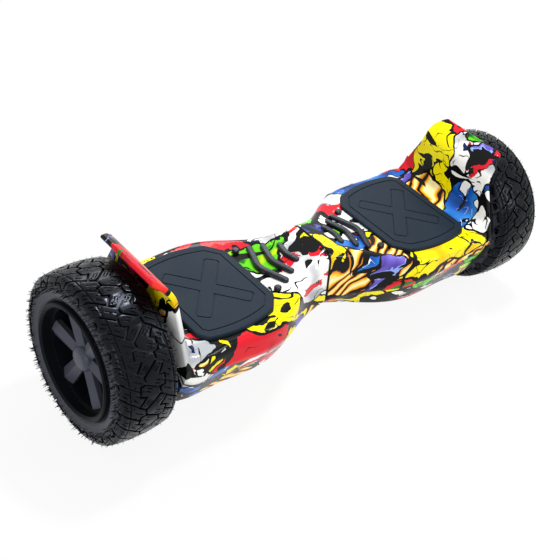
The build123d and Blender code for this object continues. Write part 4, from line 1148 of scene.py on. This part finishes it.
# ---------------------------------------------------------------- the studio
# Soft lights: name, the setting that holds the power, place, target and size in metres
LIGHTS = (
    ("Key softbox", "key", (0.50, 0.20, 1.85), (-0.1, 0.0, 0.1), (0.24, 0.18)),
    ("Shoulder strip", "strip", (1.15, -1.25, 1.15), (0.0, 0.0, 0.1), (0.12, 1.2)),
    ("Front softbox", "fill", (-2.1, -1.6, 1.0), (-0.1, 0.0, 0.1), (1.2, 1.2)),
    ("Back strip", "rim", (0.8, 1.8, 1.5), (0.0, 0.0, 0.1), (1.8, 0.4)),
)
# How far the floor reaches each way, in metres
FLOOR_REACH = 6.0
# How much of the floor glows plain white where it is seen: the rest takes the shadow
FLOOR_GLOW = 0.90
PURE_WHITE = (1.0, 1.0, 1.0, 1.0)
# Camera: turn, height and roll in degrees, what it looks about, how far off it is, and its lens
# and shift
CAMERA_ANGLES = (-47.565, 37.638, 11.258)
CAMERA_TARGET = (0.0, 0.0, 0.092)
CAMERA_DISTANCE = 1.51384
CAMERA_LENS = 71.18
CAMERA_SHIFT = (-0.04218, -0.0038)


def seen_plainly(tree):
    """Return a socket that is 1 where a surface is seen, mirrored or seen through, and 0 elsewhere."""
    rays = node(tree, "ShaderNodeLightPath", out=None).outputs
    seen = {0: rays["Is Camera Ray"], 1: rays["Is Glossy Ray"]}
    either = node(tree, "ShaderNodeMath", seen, operation="MAXIMUM")
    return node(tree, "ShaderNodeMath", {0: either, 1: rays["Is Transmission Ray"]}, operation="MAXIMUM")


def make_floor():
    """Make the pale floor, which shows white and keeps the board's shadow."""
    mesh = bpy.data.meshes.new("floor")
    corners = [(x * FLOOR_REACH, y * FLOOR_REACH, 0) for x, y in ((-1, -1), (1, -1), (1, 1), (-1, 1))]
    mesh.from_pydata(corners, [], [(0, 1, 2, 3)])
    floor = scratch_object("floor", mesh)
    made = bpy.data.materials.new("Pale floor")
    made.use_nodes = True
    tree = made.node_tree
    tree.nodes.clear()
    plain = node(tree, "ShaderNodeBsdfDiffuse", {"Color": (0.8, 0.8, 0.8, 1.0)})
    glow = node(tree, "ShaderNodeEmission", {"Color": PURE_WHITE, "Strength": 1.0})
    share = node(tree, "ShaderNodeMath", {0: seen_plainly(tree), 1: FLOOR_GLOW}, operation="MULTIPLY")
    mixed = node(tree, "ShaderNodeMixShader", {0: share, 1: plain, 2: glow})
    node(tree, "ShaderNodeOutputMaterial", {"Surface": mixed})
    mesh.materials.append(made)


def make_world(level):
    """Make the white surround: plain where it is seen, soft on the board."""
    world = bpy.data.worlds.new("White surround")
    bpy.context.scene.world = world
    world.use_nodes = True
    tree = world.node_tree
    tree.nodes.clear()
    lit = node(tree, "ShaderNodeBackground", {"Color": PURE_WHITE, "Strength": level})
    plain = node(tree, "ShaderNodeBackground", {"Color": PURE_WHITE, "Strength": 1.0})
    mixed = node(tree, "ShaderNodeMixShader", {0: seen_plainly(tree), 1: lit, 2: plain})
    node(tree, "ShaderNodeOutputWorld", {"Surface": mixed})


def soft_light(name, place, target, size, power):
    """Add a rectangular softbox that faces a target."""
    data = bpy.data.lights.new(name, "AREA")
    data.shape = "RECTANGLE"
    data.size, data.size_y = size
    data.energy = power
    lamp = bpy.data.objects.new(name, data)
    bpy.context.scene.collection.objects.link(lamp)
    way = Vector(target) - Vector(place)
    lamp.matrix_world = Matrix.Translation(place) @ way.to_track_quat("-Z", "Y").to_matrix().to_4x4()


def make_camera(scene):
    """Add the camera, above the front of the left wheel and rolled a little."""
    data = bpy.data.cameras.new("Camera")
    data.lens = CAMERA_LENS
    data.sensor_width = 36.0
    data.shift_x, data.shift_y = CAMERA_SHIFT
    data.clip_start = 0.05
    camera = bpy.data.objects.new("Camera", data)
    scene.collection.objects.link(camera)
    azimuth, elevation, roll = (math.radians(a) for a in CAMERA_ANGLES)
    flat = math.cos(elevation)
    back = Vector((math.sin(azimuth) * flat, -math.cos(azimuth) * flat, math.sin(elevation)))
    level = (-back).cross(Vector((0, 0, 1))).normalized()
    upright = level.cross(-back).normalized()
    right = math.cos(roll) * level + math.sin(roll) * upright
    up = -math.sin(roll) * level + math.cos(roll) * upright
    place = Vector(CAMERA_TARGET) + back * CAMERA_DISTANCE
    turn = Matrix((right, up, back)).transposed().to_4x4()
    camera.matrix_world = Matrix.Translation(place) @ turn
    scene.camera = camera


# ---------------------------------------------------------------- operators
class HOVERBOARD_OT_casings(bpy.types.Operator):
    """Prints the top and bottom casings of both halves"""

    bl_idname = "hoverboard.casings"
    bl_label = "Print casings"

    def execute(self, context):
        inks = context.scene.hoverboard_print
        for side, seed in {"left": inks.left_seed, "right": inks.right_seed}.items():
            dress(f"{side}_top_casing", printed_plastic(f"Printed gloss plastic, {side} top", seed, False))
            lower = printed_plastic(f"Printed gloss plastic, {side} bottom", seed + LOWER_SEED, True)
            dress(f"{side}_bottom_casing", lower)
        return {"FINISHED"}


class HOVERBOARD_OT_pads(bpy.types.Operator):
    """Finishes the foot pads and grip bars"""

    bl_idname = "hoverboard.pads"
    bl_label = "Finish pads and grips"

    def execute(self, context):
        pad = pad_rubber()
        grip = grip_rubber()
        for side in SIDES:
            dress(f"{side}_foot_pad", pad)
            dress(f"{side}_grip_bars", grip)
        return {"FINISHED"}


class HOVERBOARD_OT_tyres(bpy.types.Operator):
    """Moulds the block-tread tyres with their vent hairs"""

    bl_idname = "hoverboard.tyres"
    bl_label = "Mould tyres"

    def execute(self, context):
        sizes = context.scene.hoverboard_tyre
        tread, lit_wall = tyre_rubber(), lit_sidewall_rubber()
        body = to_mesh(carcass(sizes), "tyre_carcass")
        shade_by_angle(body, 50)
        blocks = ringed(tread_pitch(sizes), "tread_ring", sizes.pitches, tread)
        hairs = vent_hairs(sizes, tread)
        parts = {"carcass": (body, lit_wall), "tread": (blocks, tread), "hairs": (hairs, tread)}
        for side, sign in SIDES.items():
            for key, (mesh, rubber) in parts.items():
                piece = finish_mesh(f"{side}_tyre_{key}", mirrored(mesh, sign), rubber, f"{side}_wheel")
                if key == "carcass":
                    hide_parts(f"{side}_tyre")
        return {"FINISHED"}


class HOVERBOARD_OT_wheels(bpy.types.Operator):
    """Finishes the hub shells, spoked covers and motor covers"""

    bl_idname = "hoverboard.wheels"
    bl_label = "Finish wheels"

    def execute(self, context):
        paint = shade_black_hub_paint()
        nylon = cover_nylon()
        for side in SIDES:
            dress(f"{side}_hub_shell", paint)
            dress(f"{side}_motor_cover", paint)
            dress(f"{side}_spoke_cover", nylon)
        return {"FINISHED"}


class HOVERBOARD_OT_fasteners(bpy.types.Operator):
    """Fits the cross-headed screws of the bottom casings"""

    bl_idname = "hoverboard.fasteners"
    bl_label = "Fit screws"

    def execute(self, context):
        oxide = black_oxide()
        head = screw_head()
        draw = random.Random(5)
        for side in SIDES:
            places = screw_places(NODES[f"{side}_casing_screws"].data)
            spots = [(place, draw.uniform(0, math.pi)) for place in places]
            mesh = scattered(f"{side}_screw_heads", head, spots, oxide)
            piece = finish_mesh(f"{side}_screw_heads", mesh, oxide, f"{side}_half")
            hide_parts(f"{side}_casing_screws")
            dress(f"{side}_clamp_screws", oxide)
        dress("pivot_circlip", oxide)
        return {"FINISHED"}


class HOVERBOARD_OT_hardware(bpy.types.Operator):
    """Finishes the frames, pivot, motors, battery and boards inside"""

    bl_idname = "hoverboard.hardware"
    bl_label = "Finish hardware"

    def execute(self, context):
        cast = cast_aluminium()
        steel = ground_steel()
        zinc = zinc_plate()
        board = solder_mask()
        black = black_abs()
        finishes = {
            "frame": cast,
            "axle_clamp": cast,
            "axle": steel,
            "hub_bearings": steel,
            "bay_plate": zinc,
            "stator": copper_winding(),
            "magnet_ring": nickel_magnet(),
            "switch_board": board,
            "switch_plungers": black,
        }
        for side in SIDES:
            for key, material in finishes.items():
                dress(f"{side}_{key}", material)
        singles = {
            "pivot_tube": steel,
            "thrust_washer": steel,
            "pivot_bushes": acetal(),
            "heat_sink": cast,
            "main_board": board,
            "battery_pack": shrink_wrap(),
            "button_bezel": black,
            "charge_socket": black,
        }
        for key, material in singles.items():
            dress(key, material)
        return {"FINISHED"}


class HOVERBOARD_OT_controls(bpy.types.Operator):
    """Finishes the power button and its raised mark"""

    bl_idname = "hoverboard.controls"
    bl_label = "Finish button"

    def execute(self, context):
        dress("power_button", red_button())
        mark = power_mark(*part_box("power_button"))
        piece = finish_mesh("power_mark", mark, mark_paint(), "power_button")
        return {"FINISHED"}


class HOVERBOARD_OT_stage(bpy.types.Operator):
    """Sets the pale floor, the soft lights and the camera"""

    bl_idname = "hoverboard.stage"
    bl_label = "Set stage"

    def execute(self, context):
        studio = context.scene.hoverboard_studio
        scene = context.scene
        scene.view_settings.view_transform = "Standard"
        make_floor()
        make_world(studio.world)
        for name, setting, place, target, size in LIGHTS:
            soft_light(name, place, target, size, getattr(studio, setting))
        make_camera(scene)
        return {"FINISHED"}


class HOVERBOARD_PT_build(bpy.types.Panel):
    """Lists the steps that build the hoverboard"""

    bl_idname = "HOVERBOARD_PT_build"
    bl_label = "Hoverboard"
    bl_space_type = "VIEW_3D"
    bl_region_type = "UI"
    bl_category = "Hoverboard"

    def draw(self, context):
        for step in STEPS:
            self.layout.operator(step.bl_idname)
        for name in SETTINGS:
            group = getattr(context.scene, name)
            box = self.layout.box()
            for key in group.bl_rna.properties.keys():
                if key not in ("rna_type", "name"):
                    box.prop(group, key)


STEPS = (
    HOVERBOARD_OT_stage,
    HOVERBOARD_OT_casings,
    HOVERBOARD_OT_pads,
    HOVERBOARD_OT_tyres,
    HOVERBOARD_OT_wheels,
    HOVERBOARD_OT_fasteners,
    HOVERBOARD_OT_hardware,
    HOVERBOARD_OT_controls,
)
SETTINGS = {
    "hoverboard_tyre": TyreSettings,
    "hoverboard_print": PrintSettings,
    "hoverboard_studio": StudioSettings,
}
CLASSES = (*SETTINGS.values(), *STEPS, HOVERBOARD_PT_build)


def register():
    """Register the classes and hang the settings on the scene."""
    for cls in CLASSES:
        bpy.utils.register_class(cls)
    for name, cls in SETTINGS.items():
        setattr(bpy.types.Scene, name, bpy.props.PointerProperty(type=cls))


def unregister():
    """Take the settings and classes away again."""
    for name in SETTINGS:
        delattr(bpy.types.Scene, name)
    for cls in reversed(CLASSES):
        bpy.utils.unregister_class(cls)


def main():
    """Build the hoverboard."""
    register()
    for step in STEPS:
        group, action = step.bl_idname.split(".")
        getattr(getattr(bpy.ops, group), action)()


if __name__ == "__main__":
    main()
